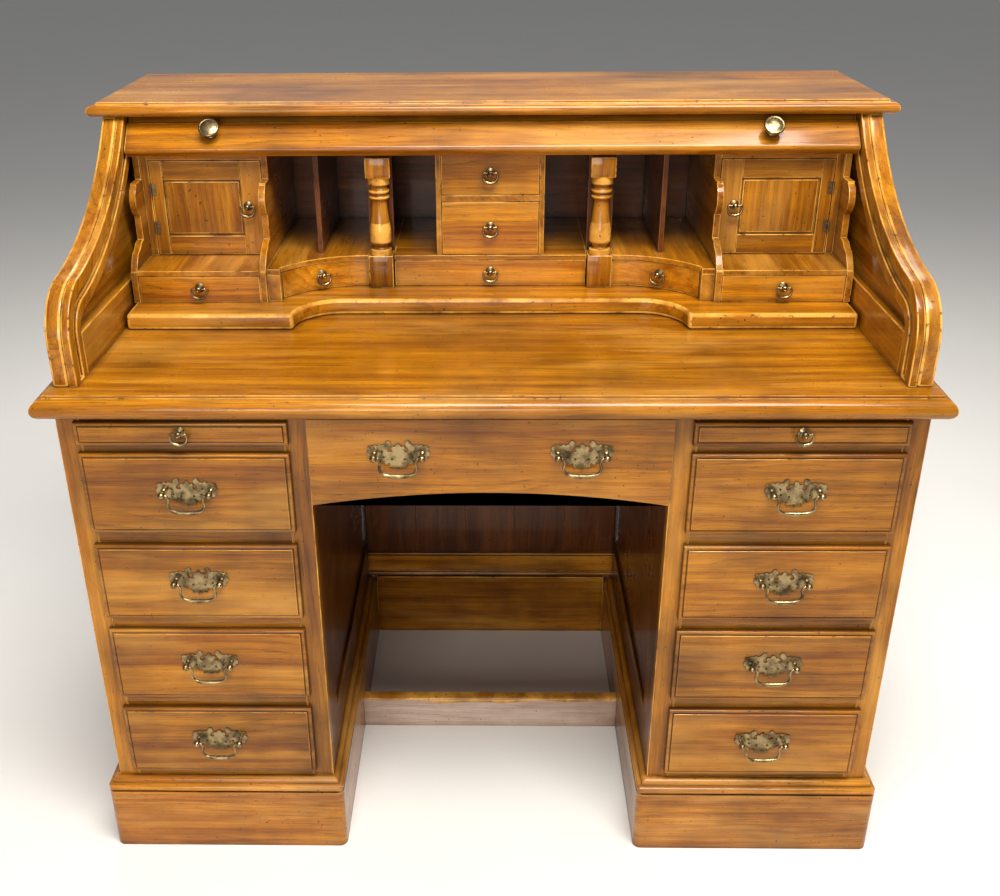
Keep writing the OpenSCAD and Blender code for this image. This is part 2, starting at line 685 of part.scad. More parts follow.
// Turned vase columns between square blocks.
module column() {
  x = -(col_x0 + col_x1) / 2; y = col_y + col_d / 2; z_low = cup_z + 6; z_high = 968;
  block(x - col_w / 2, x + col_w / 2, col_y, col_y + col_d, base_z, z_low);
  block(x - col_w / 2, x + col_w / 2, col_y, col_y + col_d, z_high, 1001);
  translate([x, y, z_low]) rotate_extrude() union() {
    rect(0, 15, 0, 2.5);
    disc2(12.5, 7, 4.5);
    rect(0, 12.5, 2.5, 11.5);
    rect(0, 12, 11.5, 14);
    intersection() { translate([0, 40]) circle(r = 30, $fn = 180); rect(0, 17, 14, 66); }
    rect(0, 11, 60, 87);
    disc2(11.5, 88, 3);
    rect(0, 12.5, 85.5, 90.5);
    rect(0, 10, 90.5, 107);
    disc2(11, 109, 3);
    rect(0, 12, 106, z_high - z_low);
  }
}
module disc2(x, y, r) { intersection() { translate([x, y]) circle(r); rect(0, x + r + 1, y - r - 1, y + r + 1); } }
module gallery_columns() color(oak) place() { column(); flip() column(); }

// Framed door with a raised panel, a pull on its wide stile and two hinges on the other.
door_x0 = -px_out + 22.8;  // hinged edge
door_x1 = -px_in - 11.2;   // free edge
door_z0 = cup_z + 0.8;
door_pull = [door_x1 - 23.8, (door_z0 + door_top) / 2 + 3.5];
hinge_y = door_y - 1.8;    // turning axis, in front of the stile
module cupboard_door() {
  t = 14; y = door_y; low = 30; high = 28.5;
  a = door_x0 + 19; b = door_x1 - 32; c = door_z0 + low; d = door_top - high;
  board(door_x0, a, y, y + t, door_z0, door_top);
  board(b, door_x1, y, y + t, door_z0, door_top);
  board(a, b, y, y + t, door_z0, c);
  board(a, b, y, y + t, d, door_top);
  board(a, b, y + 4, y + 10, c, d);
  board(a + 3, b - 3, y + 0.8, y + 4, c + 3, d - 3);
  ring_rose(door_pull[0], y, door_pull[1]);
  for (z = [893, 952]) union() {
    block(door_x0 + 0.2, door_x0 + 7, y - 0.8, y - glue, z - 9, z + 9);
    translate([door_x0 - 0.4, hinge_y, z - 9]) cylinder(h = 18, r = 1.45);
  }
}
module left_door() color(oak) place() cupboard_door();
module right_door() color(oak) place() flip() cupboard_door();

module small_drawer() {
  x0 = -px_out + 10.5; x1 = -px_in - 10.5; z0 = base_z + 0.4; z1 = shelf_z - 0.6;
  board(x0, x1, wing_y + 1, wing_y + 13, z0, z1);
  drawer_box(x0 + 1, x1 - 1, wing_y + 13, gallery_back_y - 6, z0 + 0.4, z1 - 4, 6);
  ring_rose((x0 + x1) / 2, wing_y + 1, (z0 + z1) / 2 + 3);
}
module left_small_drawer() color(oak) place() small_drawer();
module right_small_drawer() color(oak) place() flip() small_drawer();

// Drawer whose front follows the hollow curve.
curve_x = -193;       // centre of the hollow curve
curve_y = 388 - curve_r;
curve_ring_a = 26.5;  // which way the curved drawer's pull faces
curve_ring = [curve_x - (curve_r - 0.2) * sin(curve_ring_a), curve_y + (curve_r - 0.2) * cos(curve_ring_a)];
module curved_drawer() {
  x0 = -316.4; x1 = -190.6; z0 = base_z + 0.4; z1 = shelf_z - 0.6; t = 12; yf = curve_y + curve_r;
  translate([0, 0, z0]) linear_extrude(z1 - z0) difference() {
    rect(x0, x1, 322, yf + t - glue);
    translate([curve_x, curve_y]) circle(curve_r, $fn = 360);
    rect(curve_x, x1 + 1, 300, yf);
    difference() {
      rect(x0 + 12, x1 + 1, 322, yf + t + 1);
      translate([curve_x, curve_y]) circle(curve_r + t, $fn = 360);
      rect(curve_x, x1 + 1, 300, yf + t);
    }
  }
  board(x0, x0 + 6, yf + t, gallery_back_y - 6, z0 + 0.4, z1 - 4);
  board(x1 - 6, x1, yf + t, gallery_back_y - 6, z0 + 0.4, z1 - 4);
  board(x0 + 6, x1 - 6, gallery_back_y - 12, gallery_back_y - 6, z0 + 0.4, z1 - 4);
  board(x0 + 6, x1 - 6, yf + t, gallery_back_y - 12, z0 + 0.4, z0 + 3.4);
  ring_rose(curve_ring[0], curve_ring[1], (z0 + z1) / 2 + 3, curve_ring_a);
}
module left_curved_drawer() color(oak) place() curved_drawer();
module right_curved_drawer() color(oak) place() flip() curved_drawer();

module plain_drawer(w, y, z0, z1, t) {
  board(-w, w, y, y + t, z0, z1);
  drawer_box(-w + 1, w - 1, y + t, gallery_back_y - 6, z0 + 0.4, z1 - 5, 6);
  ring_rose(0, y, (z0 + z1) / 2 + 3);
}
module upper_stack_drawer() color(oak) place() plain_drawer(74.4, stack_y + 0.5, 942.6, stack_top, 12);
module lower_stack_drawer() color(oak) place() plain_drawer(74.4, stack_y + 0.5, cup_z + 0.6, 931.4, 12);
module wide_drawer() color(oak) place() plain_drawer(149.4, 387, base_z + 0.4, shelf_z - 0.6, 12);

// ---- handle pieces that swing ----------------------------------------------------------------

module ped_bail(k, side) bail(-side * ped_mid, front_y, dz(k) + drawer_front_h / 2 + 6);
module left_bail_1() color(brass) place() ped_bail(1, -1);
module left_bail_2() color(brass) place() ped_bail(2, -1);
module left_bail_3() color(brass) place() ped_bail(3, -1);
module left_bail_4() color(brass) place() ped_bail(4, -1);
module right_bail_1() color(brass) place() ped_bail(1, 1);
module right_bail_2() color(brass) place() ped_bail(2, 1);
module right_bail_3() color(brass) place() ped_bail(3, 1);
module right_bail_4() color(brass) place() ped_bail(4, 1);
module centre_left_bail() color(brass) place() bail(-121.5, front_y + 1, 691);
module centre_right_bail() color(brass) place() bail(121.5, front_y + 1, 691);
module slide_ring() drop_ring(ped_mid, front_y, slot_z0 - lip + slide_front_h / 2 + 4);
module left_slide_ring() color(brass) place() slide_ring();
module right_slide_ring() color(brass) place() flip() slide_ring();
module door_ring() drop_ring(door_pull[0], door_y, door_pull[1]);
module left_door_ring() color(brass) place() door_ring();
module right_door_ring() color(brass) place() flip() door_ring();
small_mid_z = (base_z + 0.4 + shelf_z - 0.6) / 2 + 3;
module small_ring() drop_ring((-px_out - px_in) / 2, wing_y + 1, small_mid_z);
module left_small_ring() color(brass) place() small_ring();
module right_small_ring() color(brass) place() flip() small_ring();
module curved_ring() drop_ring(curve_ring[0], curve_ring[1], small_mid_z, curve_ring_a);
module left_curved_ring() color(brass) place() curved_ring();
module right_curved_ring() color(brass) place() flip() curved_ring();
module upper_stack_ring() color(brass) place() drop_ring(0, stack_y + 0.5, (942.6 + stack_top) / 2 + 3);
module lower_stack_ring() color(brass) place() drop_ring(0, stack_y + 0.5, (cup_z + 0.6 + 931.4) / 2 + 3);
module wide_ring() color(brass) place() drop_ring(0, 387, small_mid_z);

desktop();
left_pedestal();
right_pedestal();
left_plinth();
right_plinth();
kneehole_back();
foot_rail();
left_roll_side();
right_roll_side();
top_board();
roll_back();
gallery_case();
gallery_base();
gallery_columns();
drawer_runners();
tambour_slats();
tambour_middle_slat();
tambour_lead_rail();
tambour_knobs();
centre_drawer();
left_drawer_1();
left_drawer_2();
left_drawer_3();
left_drawer_4();
right_drawer_1();
right_drawer_2();
right_drawer_3();
right_drawer_4();
left_slide();
right_slide();
left_door();
right_door();
left_small_drawer();
right_small_drawer();
left_curved_drawer();
right_curved_drawer();
upper_stack_drawer();
lower_stack_drawer();
wide_drawer();
left_bail_1();
left_bail_2();
left_bail_3();
left_bail_4();
right_bail_1();
right_bail_2();
right_bail_3();
right_bail_4();
centre_left_bail();
centre_right_bail();
left_slide_ring();
right_slide_ring();
left_door_ring();
right_door_ring();
left_small_ring();
right_small_ring();
left_curved_ring();
right_curved_ring();
upper_stack_ring();
lower_stack_ring();
wide_ring();
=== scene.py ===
# Roll top desk in aged, waxed oak with brass handles: the visible pieces, their finishes, the light and
# the camera.
# Lengths are in metres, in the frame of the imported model: +X right, +Y back, +Z up, floor at 0.
import json
import math
import random

import bmesh
import bpy
from mathutils import Matrix, Vector, noise


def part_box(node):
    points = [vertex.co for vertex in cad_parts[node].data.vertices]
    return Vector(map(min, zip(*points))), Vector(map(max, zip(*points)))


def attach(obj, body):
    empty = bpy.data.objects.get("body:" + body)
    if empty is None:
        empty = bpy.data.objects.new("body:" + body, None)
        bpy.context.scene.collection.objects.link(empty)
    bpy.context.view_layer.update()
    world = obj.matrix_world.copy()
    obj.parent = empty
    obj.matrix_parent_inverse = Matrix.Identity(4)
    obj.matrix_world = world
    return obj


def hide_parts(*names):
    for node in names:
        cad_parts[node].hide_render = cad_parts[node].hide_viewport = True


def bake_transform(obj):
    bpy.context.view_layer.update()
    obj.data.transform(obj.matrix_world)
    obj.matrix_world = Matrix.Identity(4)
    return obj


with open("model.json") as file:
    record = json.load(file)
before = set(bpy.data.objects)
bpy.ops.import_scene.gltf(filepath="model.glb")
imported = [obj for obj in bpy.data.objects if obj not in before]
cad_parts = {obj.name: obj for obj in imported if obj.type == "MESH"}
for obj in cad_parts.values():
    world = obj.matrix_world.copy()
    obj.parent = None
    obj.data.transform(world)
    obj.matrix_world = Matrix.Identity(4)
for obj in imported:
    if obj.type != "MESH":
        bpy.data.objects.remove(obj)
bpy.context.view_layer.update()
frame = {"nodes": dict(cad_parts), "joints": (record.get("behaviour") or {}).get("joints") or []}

MM = 0.001
rng = random.Random(11)
PIVOT = {j["child"]: Vector(j["pos_m"]) for j in frame["joints"] if "pos_m" in j}


# ---- finishes -------------------------------------------------------------------------------

def tint(red, green, blue):
    """A paint-chart colour, 0 to 255, as the linear values a shader takes."""
    return tuple(((c / 255 + 0.055) / 1.055) ** 2.4 if c > 10 else c / 255 / 12.92
                 for c in (red, green, blue))


class Net:
    """A few short words for wiring shader nodes."""

    def __init__(self, tree):
        self.tree = tree

    def node(self, kind, **settings):
        made = self.tree.nodes.new("ShaderNode" + kind)
        for name, value in settings.items():
            setattr(made, name, value)
        return made

    def feed(self, socket, value):
        if isinstance(value, bpy.types.NodeSocket):
            self.tree.links.new(value, socket)
        elif isinstance(value, tuple) and len(value) == 3 and socket.type == "RGBA":
            socket.default_value = (*value, 1.0)
        else:
            socket.default_value = value

    def math(self, operation, a, b=0.0, clamp=False):
        made = self.node("Math", operation=operation, use_clamp=clamp)
        self.feed(made.inputs[0], a)
        self.feed(made.inputs[1], b)
        return made.outputs[0]

    def stretch(self, vector, x, y, z):
        made = self.node("VectorMath", operation="MULTIPLY")
        self.feed(made.inputs[0], vector)
        made.inputs[1].default_value = (x, y, z)
        return made.outputs[0]

    def noise(self, vector, scale=1.0, detail=2.0, rough=0.5):
        made = self.node("TexNoise")
        self.feed(made.inputs["Vector"], vector)
        made.inputs["Scale"].default_value = scale
        made.inputs["Detail"].default_value = detail
        made.inputs["Roughness"].default_value = rough
        return made.outputs["Fac"]

    def span(self, value, low, high, to_low=0.0, to_high=1.0):
        made = self.node("MapRange")
        for socket, given in zip(made.inputs, (value, low, high, to_low, to_high)):
            self.feed(socket, given)
        return made.outputs[0]

    def mix(self, share, a, b, how="MIX"):
        made = self.node("Mix", data_type="RGBA", blend_type=how)
        self.feed(made.inputs[0], share)
        self.feed(made.inputs[6], a)
        self.feed(made.inputs[7], b)
        return made.outputs[2]

    def place(self, group, **inputs):
        made = self.node("Group", node_tree=group)
        for name, value in inputs.items():
            self.feed(made.inputs[name.replace("_", " ")], value)
        return made.outputs


def new_group(name, inputs, outputs):
    """An empty shader group with named sockets, and the words to wire it."""
    tree = bpy.data.node_groups.new(name, "ShaderNodeTree")
    for label, kind in inputs:
        tree.interface.new_socket(name=label, in_out="INPUT", socket_type="NodeSocket" + kind)
    for label, kind in outputs:
        tree.interface.new_socket(name=label, in_out="OUTPUT", socket_type="NodeSocket" + kind)
    return tree, Net(tree), tree.nodes.new("NodeGroupInput").outputs, tree.nodes.new("NodeGroupOutput").inputs


def oak_figure():
    """Growth rings, fibre and open pores running along each board's own grain."""
    colours = [("Light", "Color"), ("Mid", "Color"), ("Dark", "Color")]
    results = [("Color", "Color"), ("Height", "Float"), ("Pores", "Float")]
    tree, net, given, out = new_group("oak_figure", colours, results)
    grain = net.node("Attribute", attribute_name="grain").outputs["Vector"]
    tone_and_light = net.node("Attribute", attribute_name="tone_and_light").outputs["Fac"]
    parts = net.node("SeparateXYZ")
    net.feed(parts.inputs[0], grain)
    across, deep = parts.outputs[1], parts.outputs[2]
    wander = net.noise(net.stretch(grain, 1.5, 9.0, 9.0), 1.0, 2.5, 0.55)
    ring_place = net.math("MULTIPLY", net.math("ADD", across, net.math("MULTIPLY", deep, 0.6)), 90.0)
    ring_wave = net.math("FRACT", net.math("ADD", ring_place, net.math("MULTIPLY", wander, 9.0)))
    ring = net.math("MULTIPLY", net.math("POWER", ring_wave, 3.0), net.span(wander, 0.35, 0.6, 0.25, 1.0))
    fibre = net.noise(net.stretch(grain, 14.0, 520.0, 520.0), 1.0, 3.0, 0.6)
    streak = net.noise(net.stretch(grain, 2.2, 60.0, 60.0), 1.0, 3.0, 0.55)
    pores = net.span(net.noise(net.stretch(grain, 55.0, 900.0, 900.0), 1.0, 1.5, 0.5), 0.60, 0.70)
    pores = net.math("MULTIPLY", pores, net.span(ring, 0.0, 0.8, 0.35, 1.0))
    body = net.mix(net.span(streak, 0.32, 0.68), given["Mid"], given["Light"])
    body = net.mix(net.math("MULTIPLY", ring, 0.34), body, given["Dark"])
    body = net.mix(net.span(fibre, 0.38, 0.72, 0.0, 0.42), body, given["Dark"])
    body = net.mix(net.math("MULTIPLY", pores, 0.7), body, given["Dark"])
    # Tones up to 1 differ at random from board to board; higher tones lighten a board as painted light, and
    # the low tones of the pedestal fronts darken them as painted shade.
    shade = net.span(tone_and_light, 0.0, 2.0, 0.80, 1.34)
    value = net.node("HueSaturation")
    net.feed(value.inputs["Color"], body)
    net.feed(value.inputs["Value"], shade)
    net.feed(out["Color"], value.outputs[0])
    raised = net.math("MULTIPLY", fibre, 0.3)
    sunk = net.math("MULTIPLY", pores, 0.9)
    net.feed(out["Height"], net.math("SUBTRACT", raised, sunk))
    net.feed(out["Pores"], pores)
    return tree


def oak_age_and_shade():
    """Long use: rubbed edges, cloudy wax, nicks and specks, stain in quirks; and painted shade, darkening the
    recesses that an occlusion test finds.
    """
    inputs = [("Color", "Color"), ("Stain", "Color"), ("Rubbed", "Color"), ("Depth", "Float"),
              ("Wear", "Float")]
    results = [("Color", "Color"), ("Roughness", "Float"), ("Height", "Float")]
    tree, net, given, out = new_group("oak_age_and_shade", inputs, results)
    place = net.node("TexCoord").outputs["Object"]
    grain = net.node("Attribute", attribute_name="grain").outputs["Vector"]
    mark = net.node("Attribute", attribute_name="worn").outputs["Fac"]
    worn = net.math("MAXIMUM", mark, 0.0)
    # Negative wear marks darken the colour too: stain and painted shade in quirks, and painted shade on faces
    # in the gaps between parts.
    sunk = net.math("MAXIMUM", net.math("MULTIPLY", mark, -1.0), 0.0)
    # Painted shade: an occlusion test finds corners, gaps and recesses, and the colour is darkened there.
    recess = net.node("AmbientOcclusion", samples=4)
    recess.inputs["Distance"].default_value = 0.011
    closed = net.span(recess.outputs["AO"], 0.35, 0.95, 1.0, 0.0)
    cloud = net.noise(place, 6.0, 3.0, 0.6)
    shade_and_stain = net.math("MULTIPLY", closed, net.span(cloud, 0.3, 0.7, 0.6, 1.0))
    shade_and_stain = net.math("MAXIMUM", shade_and_stain, net.math("MULTIPLY", sunk, 0.85))
    colour = net.mix(net.span(cloud, 0.40, 0.74, 0.0, 0.62), given["Color"], given["Stain"])
    patch = net.noise(net.stretch(grain, 3.0, 14.0, 14.0), 1.0, 3.0, 0.6)
    colour = net.mix(net.span(patch, 0.5, 0.75, 0.0, 0.35), colour, given["Rubbed"])
    # Painted shade in recesses and gaps, together with stain, laid over the colour.
    colour = net.mix(net.math("MULTIPLY", shade_and_stain, given["Depth"]), colour, given["Stain"])
    chip = net.noise(place, 95.0, 2.0, 0.6)
    rub = net.math("MULTIPLY", worn, net.span(net.noise(place, 22.0, 3.0, 0.6), 0.36, 0.62, 0.15, 1.0))
    rub = net.math("MULTIPLY", rub, given["Wear"], clamp=True)
    colour = net.mix(rub, colour, given["Rubbed"])
    nick = net.math("MULTIPLY", net.span(chip, 0.64, 0.70), net.span(worn, 0.0, 1.0, 0.16, 1.0))
    speck = net.span(net.noise(place, 210.0, 1.0, 0.4), 0.735, 0.775)
    pit = net.math("MAXIMUM", nick, speck)
    colour = net.mix(net.math("MULTIPLY", pit, 0.75), colour, given["Stain"])
    rough = net.span(cloud, 0.3, 0.7, 0.24, 0.38)
    rough = net.math("ADD", rough, net.math("MULTIPLY", net.math("MAXIMUM", shade_and_stain, pit), 0.3))
    net.feed(out["Color"], colour)
    net.feed(out["Roughness"], rough)
    net.feed(out["Height"], net.math("SUBTRACT", net.math("MULTIPLY", cloud, 0.2), pit))
    return tree


def brass_patina():
    """Old brass: bright where fingers rub, brown and dull in the hollows."""
    tree, net, given, out = new_group("brass_patina", [("Bright", "Color"), ("Dull", "Color")],
                                      [("Color", "Color"), ("Roughness", "Float"), ("Height", "Float")])
    place = net.node("TexCoord").outputs["Object"]
    recess = net.node("AmbientOcclusion", samples=4)
    recess.inputs["Distance"].default_value = 0.006
    hollow = net.span(recess.outputs["AO"], 0.3, 0.85, 1.0, 0.0)
    cloud = net.noise(place, 70.0, 3.0, 0.6)
    fine = net.noise(place, 900.0, 2.0, 0.5)
    dull = net.math("MAXIMUM", hollow, net.span(cloud, 0.42, 0.68), clamp=True)
    net.feed(out["Color"], net.mix(dull, given["Bright"], given["Dull"]))
    net.feed(out["Roughness"], net.span(dull, 0.0, 1.0, 0.24, 0.5))
    net.feed(out["Height"], net.math("ADD", cloud, net.math("MULTIPLY", fine, 0.25)))
    return tree


FIGURE, AGE_AND_SHADE, PATINA = oak_figure(), oak_age_and_shade(), brass_patina()


def finish_of(name):
    material = bpy.data.materials.new(name)
    material.use_nodes = True
    tree = material.node_tree
    shader = next(n for n in tree.nodes if n.type == "BSDF_PRINCIPLED")
    return material, Net(tree), shader


def oak(name, light, mid, dark, rubbed, depth, wear, coat):
    """One oak finish: figure, and age with painted shade, over the same shader, each with its own colours."""
    material, net, shader = finish_of(name)
    figure = net.place(FIGURE, Light=light, Mid=mid, Dark=dark)
    age_and_shade = net.place(AGE_AND_SHADE, Color=figure["Color"], Stain=dark, Rubbed=rubbed, Depth=depth, Wear=wear)
    bump = net.node("Bump")
    bump.inputs["Strength"].default_value = 0.35
    bump.inputs["Distance"].default_value = 0.0007
    net.feed(bump.inputs["Height"], net.math("ADD", figure["Height"], age_and_shade["Height"]))
    net.feed(shader.inputs["Base Color"], age_and_shade["Color"])
    net.feed(shader.inputs["Roughness"], age_and_shade["Roughness"])
    net.feed(shader.inputs["Normal"], bump.outputs[0])
    shader.inputs["Coat Weight"].default_value = coat
    shader.inputs["Specular IOR Level"].default_value = 0.16
    shader.inputs["Coat Roughness"].default_value = 0.08
    return material


def polished_oak():
    return oak("polished_oak", light=tint(194, 124, 16), mid=tint(142, 78, 6), dark=tint(38, 15, 2),
               rubbed=tint(230, 170, 76), depth=0.9, wear=0.8, coat=0.4)


def plinth_oak():
    return oak("plinth_oak", light=tint(204, 134, 38), mid=tint(156, 88, 18), dark=tint(42, 16, 4),
               rubbed=tint(232, 176, 96), depth=1.0, wear=0.9, coat=0.4)


# Painted shade: a darker, duller copy of the oak for boards that stand deep in shade.
def shadow_oak():
    return oak("shadow_oak", light=tint(112, 60, 20), mid=tint(84, 40, 11), dark=tint(24, 10, 3),
               rubbed=tint(140, 84, 36), depth=1.0, wear=0.6, coat=0.25)


# Painted reflection: a pale, whitish oak that stands for the pale floor reflected in the foot rail's glossy
# front face.
def floor_reflection_oak():
    return oak("floor_reflection_oak", light=tint(226, 204, 188), mid=tint(208, 180, 162), dark=tint(120, 84, 62),
               rubbed=tint(234, 216, 200), depth=0.6, wear=0.5, coat=0.0)


def drawer_side_oak():
    return oak("drawer_side_oak", light=tint(190, 146, 92), mid=tint(164, 118, 68), dark=tint(84, 52, 26),
               rubbed=tint(206, 170, 118), depth=0.8, wear=0.5, coat=0.0)


def aged_brass():
    material, net, shader = finish_of("aged_brass")
    patina = net.place(PATINA, Bright=tint(158, 138, 100), Dull=tint(74, 60, 42))
    bump = net.node("Bump")
    bump.inputs["Strength"].default_value = 0.25
    bump.inputs["Distance"].default_value = 0.0003
    net.feed(bump.inputs["Height"], patina["Height"])
    net.feed(shader.inputs["Base Color"], patina["Color"])
    net.feed(shader.inputs["Roughness"], patina["Roughness"])
    net.feed(shader.inputs["Normal"], bump.outputs[0])
    shader.inputs["Metallic"].default_value = 1.0
    return material


def floor_paint():
    material, net, shader = finish_of("floor_paint")
    place = net.node("TexCoord").outputs["Object"]
    colour = net.mix(net.noise(place, 3.0, 3.0), tint(222, 219, 214), tint(228, 225, 221))
    net.feed(shader.inputs["Base Color"], colour)
    shader.inputs["Roughness"].default_value = 0.65
    return material


FINISH = {"polished_oak": polished_oak(), "plinth_oak": plinth_oak(), "shadow_oak": shadow_oak(),
          "drawer_side_oak": drawer_side_oak(), "floor_reflection_oak": floor_reflection_oak(), "aged_brass": aged_brass()}


# ---- gathering shapes into pieces -----------------------------------------------------------

class Goods:
    """Collects the boards or castings of one piece, then makes the object."""

    def __init__(self, name, finish):
        self.name = name
        self.finishes = [finish]
        self.points, self.faces, self.grain, self.tone_and_light = [], [], [], []
        self.worn, self.kind = [], []

    def lay(self, points, faces, axes=None, worn=None, finish=None, tone_and_light=None):
        """Adds one board or casting; axes are the directions along, across and through its grain."""
        first = len(self.points)
        axes = axes or long_axes(points)
        shift = Vector((rng.uniform(0, 7), rng.uniform(0, 7), rng.uniform(0, 7)))
        shade = rng.random() if tone_and_light is None else tone_and_light
        finish = finish or self.finishes[0]
        if finish not in self.finishes:
            self.finishes.append(finish)
        for p in points:
            p = Vector(p)
            self.points.append(p)
            self.grain.append(Vector((p.dot(axes[0]), p.dot(axes[1]), p.dot(axes[2]))) + shift)
            self.tone_and_light.append(shade)
        for k, face in enumerate(faces):
            self.faces.append([first + i for i in face])
            self.worn.append(worn[k] if worn else 0.0)
            self.kind.append(self.finishes.index(finish))

    def board(self, shape, width=1.2 * MM, axes=None, finish=None, tone_and_light=None, sharp=28):
        """Adds a closed board from a bmesh, with its arrises eased."""
        worn = ease(shape, width, sharp)
        shape.verts.index_update()
        points = [v.co.copy() for v in shape.verts]
        faces = [[v.index for v in f.verts] for f in shape.faces]
        self.lay(points, faces, axes, [1.0 if f in worn else 0.0 for f in shape.faces], finish, tone_and_light)
        shape.free()

    def done(self, body, stands_for=(), sharp=38, weighted=True):
        mesh = bpy.data.meshes.new(self.name)
        mesh.from_pydata(self.points, [], self.faces)
        for finish in self.finishes:
            mesh.materials.append(FINISH[finish])
        mesh.polygons.foreach_set("material_index", self.kind)
        mesh.polygons.foreach_set("use_smooth", [True] * len(self.faces))
        grain = mesh.attributes.new("grain", "FLOAT_VECTOR", "POINT")
        grain.data.foreach_set("vector", [c for g in self.grain for c in g])
        mesh.attributes.new("tone_and_light", "FLOAT", "POINT").data.foreach_set("value", self.tone_and_light)
        corners = [self.worn[f.index] for f in mesh.polygons for _ in f.loop_indices]
        mesh.attributes.new("worn", "FLOAT", "CORNER").data.foreach_set("value", corners)
        mesh.update()
        mesh.set_sharp_from_angle(angle=math.radians(sharp))
        made = bpy.data.objects.new(self.name, mesh)
        bpy.context.scene.collection.objects.link(made)
        if weighted:
            made.modifiers.new("even_faces", "WEIGHTED_NORMAL").keep_sharp = True
        if stands_for:
            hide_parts(*stands_for)
        if body:
            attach(made, body)
        return made


def long_axes(points):
    """Grain directions of a board: along its longest side, then the next."""
    spans = []
    for k in range(3):
        values = [p[k] for p in points]
        spans.append((max(values) - min(values), k))
    order = [k for _, k in sorted(spans, reverse=True)]
    return [Vector([1.0 if i == k else 0.0 for i in range(3)]) for k in order]


def ease(shape, width, sharp):
    """Breaks the arrises of a board and returns the narrow faces that this makes."""
    bmesh.ops.dissolve_limit(shape, angle_limit=math.radians(0.6), verts=shape.verts, edges=shape.edges)
    least = math.radians(sharp)
    edges = [e for e in shape.edges if len(e.link_faces) == 2 and e.calc_face_angle(0.0) > least]
    if not edges or width <= 0:
        return set()
    made = bmesh.ops.bevel(shape, geom=edges, offset=width, offset_type="OFFSET", segments=2, profile=0.5,
                           affect="EDGES", clamp_overlap=True)
    return set(made["faces"])


def boards_of(node):
    """The separate closed boards and castings of a CAD node, as bmesh shapes."""
    whole = bmesh.new()
    whole.from_mesh(frame["nodes"][node].data)
    bmesh.ops.remove_doubles(whole, verts=whole.verts, dist=2e-6)
    whole.verts.ensure_lookup_table()
    whole.verts.index_update()
    seen, found = set(), []
    for start in whole.verts:
        if start.index in seen or not start.link_faces:
            continue
        seen.add(start.index)
        members, waiting = [], [start]
        while waiting:
            v = waiting.pop()
            members.append(v)
            for e in v.link_edges:
                other = e.other_vert(v)
                if other.index not in seen:
                    seen.add(other.index)
                    waiting.append(other)
        part = bmesh.new()
        twin = {v.index: part.verts.new(v.co) for v in members}
        faces = {f for v in members for f in v.link_faces}
        for f in sorted(faces, key=lambda f: f.index):
            part.faces.new([twin[v.index] for v in f.verts])
        bmesh.ops.recalc_face_normals(part, faces=part.faces)
        found.append(part)
    whole.free()
    return found


def extent(shape):
    """Lowest corner, highest corner and size of a shape."""
    low = Vector([min(v.co[k] for v in shape.verts) for k in range(3)])
    high = Vector([max(v.co[k] for v in shape.verts) for k in range(3)])
    return low, high, high - low


def is_brass(shape):
    """Handle fittings are far smaller or thinner than any board."""
    size = extent(shape)[2]
    return max(size) < 20 * MM or size.y < 1.7 * MM


def sleeve(rows, sides):
    """Faces round a stack of rings of points, with a cap at each end."""
    faces = []
    for k in range(rows - 1):
        for s in range(sides):
            t = (s + 1) % sides
            faces.append([k * sides + s, k * sides + t, (k + 1) * sides + t, (k + 1) * sides + s])
    faces.append(list(range(sides))[::-1])
    faces.append([(rows - 1) * sides + s for s in range(sides)])
    return faces


def tube(path, radii, sides=12):
    """A round bar of changing thickness along a path, closed at both ends."""
    path = [Vector(p) for p in path]
    points = []
    side = None
    for k, p in enumerate(path):
        ahead = (path[min(k + 1, len(path) - 1)] - path[max(k - 1, 0)]).normalized()
        if side is None:
            side = ahead.orthogonal() if abs(ahead.y) > 0.9 else ahead.cross(Vector((0, 1, 0)))
            side.normalize()
        side = (side - ahead * side.dot(ahead)).normalized()
        up = ahead.cross(side)
        for s in range(sides):
            a = 2 * math.pi * s / sides
            points.append(p + side * (radii[k] * math.cos(a)) + up * (radii[k] * math.sin(a)))
    return points, sleeve(len(path), sides)


def turned(profile, origin, axis, sides=32):
    """A turned piece: (radius, height) pairs spun about an axis, closed at both ends."""
    axis = Vector(axis).normalized()
    side = axis.orthogonal().normalized()
    up = axis.cross(side)
    least = 0.02 * MM
    points = []
    for radius, height in profile:
        radius = max(radius, least)
        for s in range(sides):
            a = 2 * math.pi * s / sides
            points.append(origin + axis * height + (side * math.cos(a) + up * math.sin(a)) * radius)
    return points, sleeve(len(profile), sides)


def smooth_line(knots, steps=6):
    """Points on a flowing line through the knots, of any dimension."""
    knots = [tuple(k) for k in knots]
    ends = [knots[0]] + knots + [knots[-1]]
    line = []
    for k in range(1, len(ends) - 2):
        a, b, c, d = ends[k - 1], ends[k], ends[k + 1], ends[k + 2]
        for s in range(steps):
            t = s / steps
            line.append(tuple(0.5 * (2 * b[i] + (c[i] - a[i]) * t
                                     + (2 * a[i] - 5 * b[i] + 4 * c[i] - d[i]) * t * t
                                     + (3 * b[i] - a[i] - 3 * c[i] + d[i]) * t ** 3)
                              for i in range(len(b))))
    line.append(knots[-1])
    return line


def box_shape(low, high):
    """A plain board between two corners, as a bmesh ready for easing."""
    shape = bmesh.new()
    corner = [shape.verts.new((x, y, z)) for x in (low[0], high[0]) for y in (low[1], high[1])
              for z in (low[2], high[2])]
    for face in ((0, 1, 3, 2), (4, 6, 7, 5), (0, 4, 5, 1), (2, 3, 7, 6), (0, 2, 6, 4), (1, 5, 7, 3)):
        shape.faces.new([corner[k] for k in face])
    bmesh.ops.recalc_face_normals(shape, faces=shape.faces)
    return shape


# ---- handles --------------------------------------------------------------------------------

POST_OUT = 14.02 * MM      # how far a bail's axis stands out from its front
RING_OUT = 9.02 * MM       # the same for a small pull
POST_X = 32 * MM           # half the distance between a bail's posts
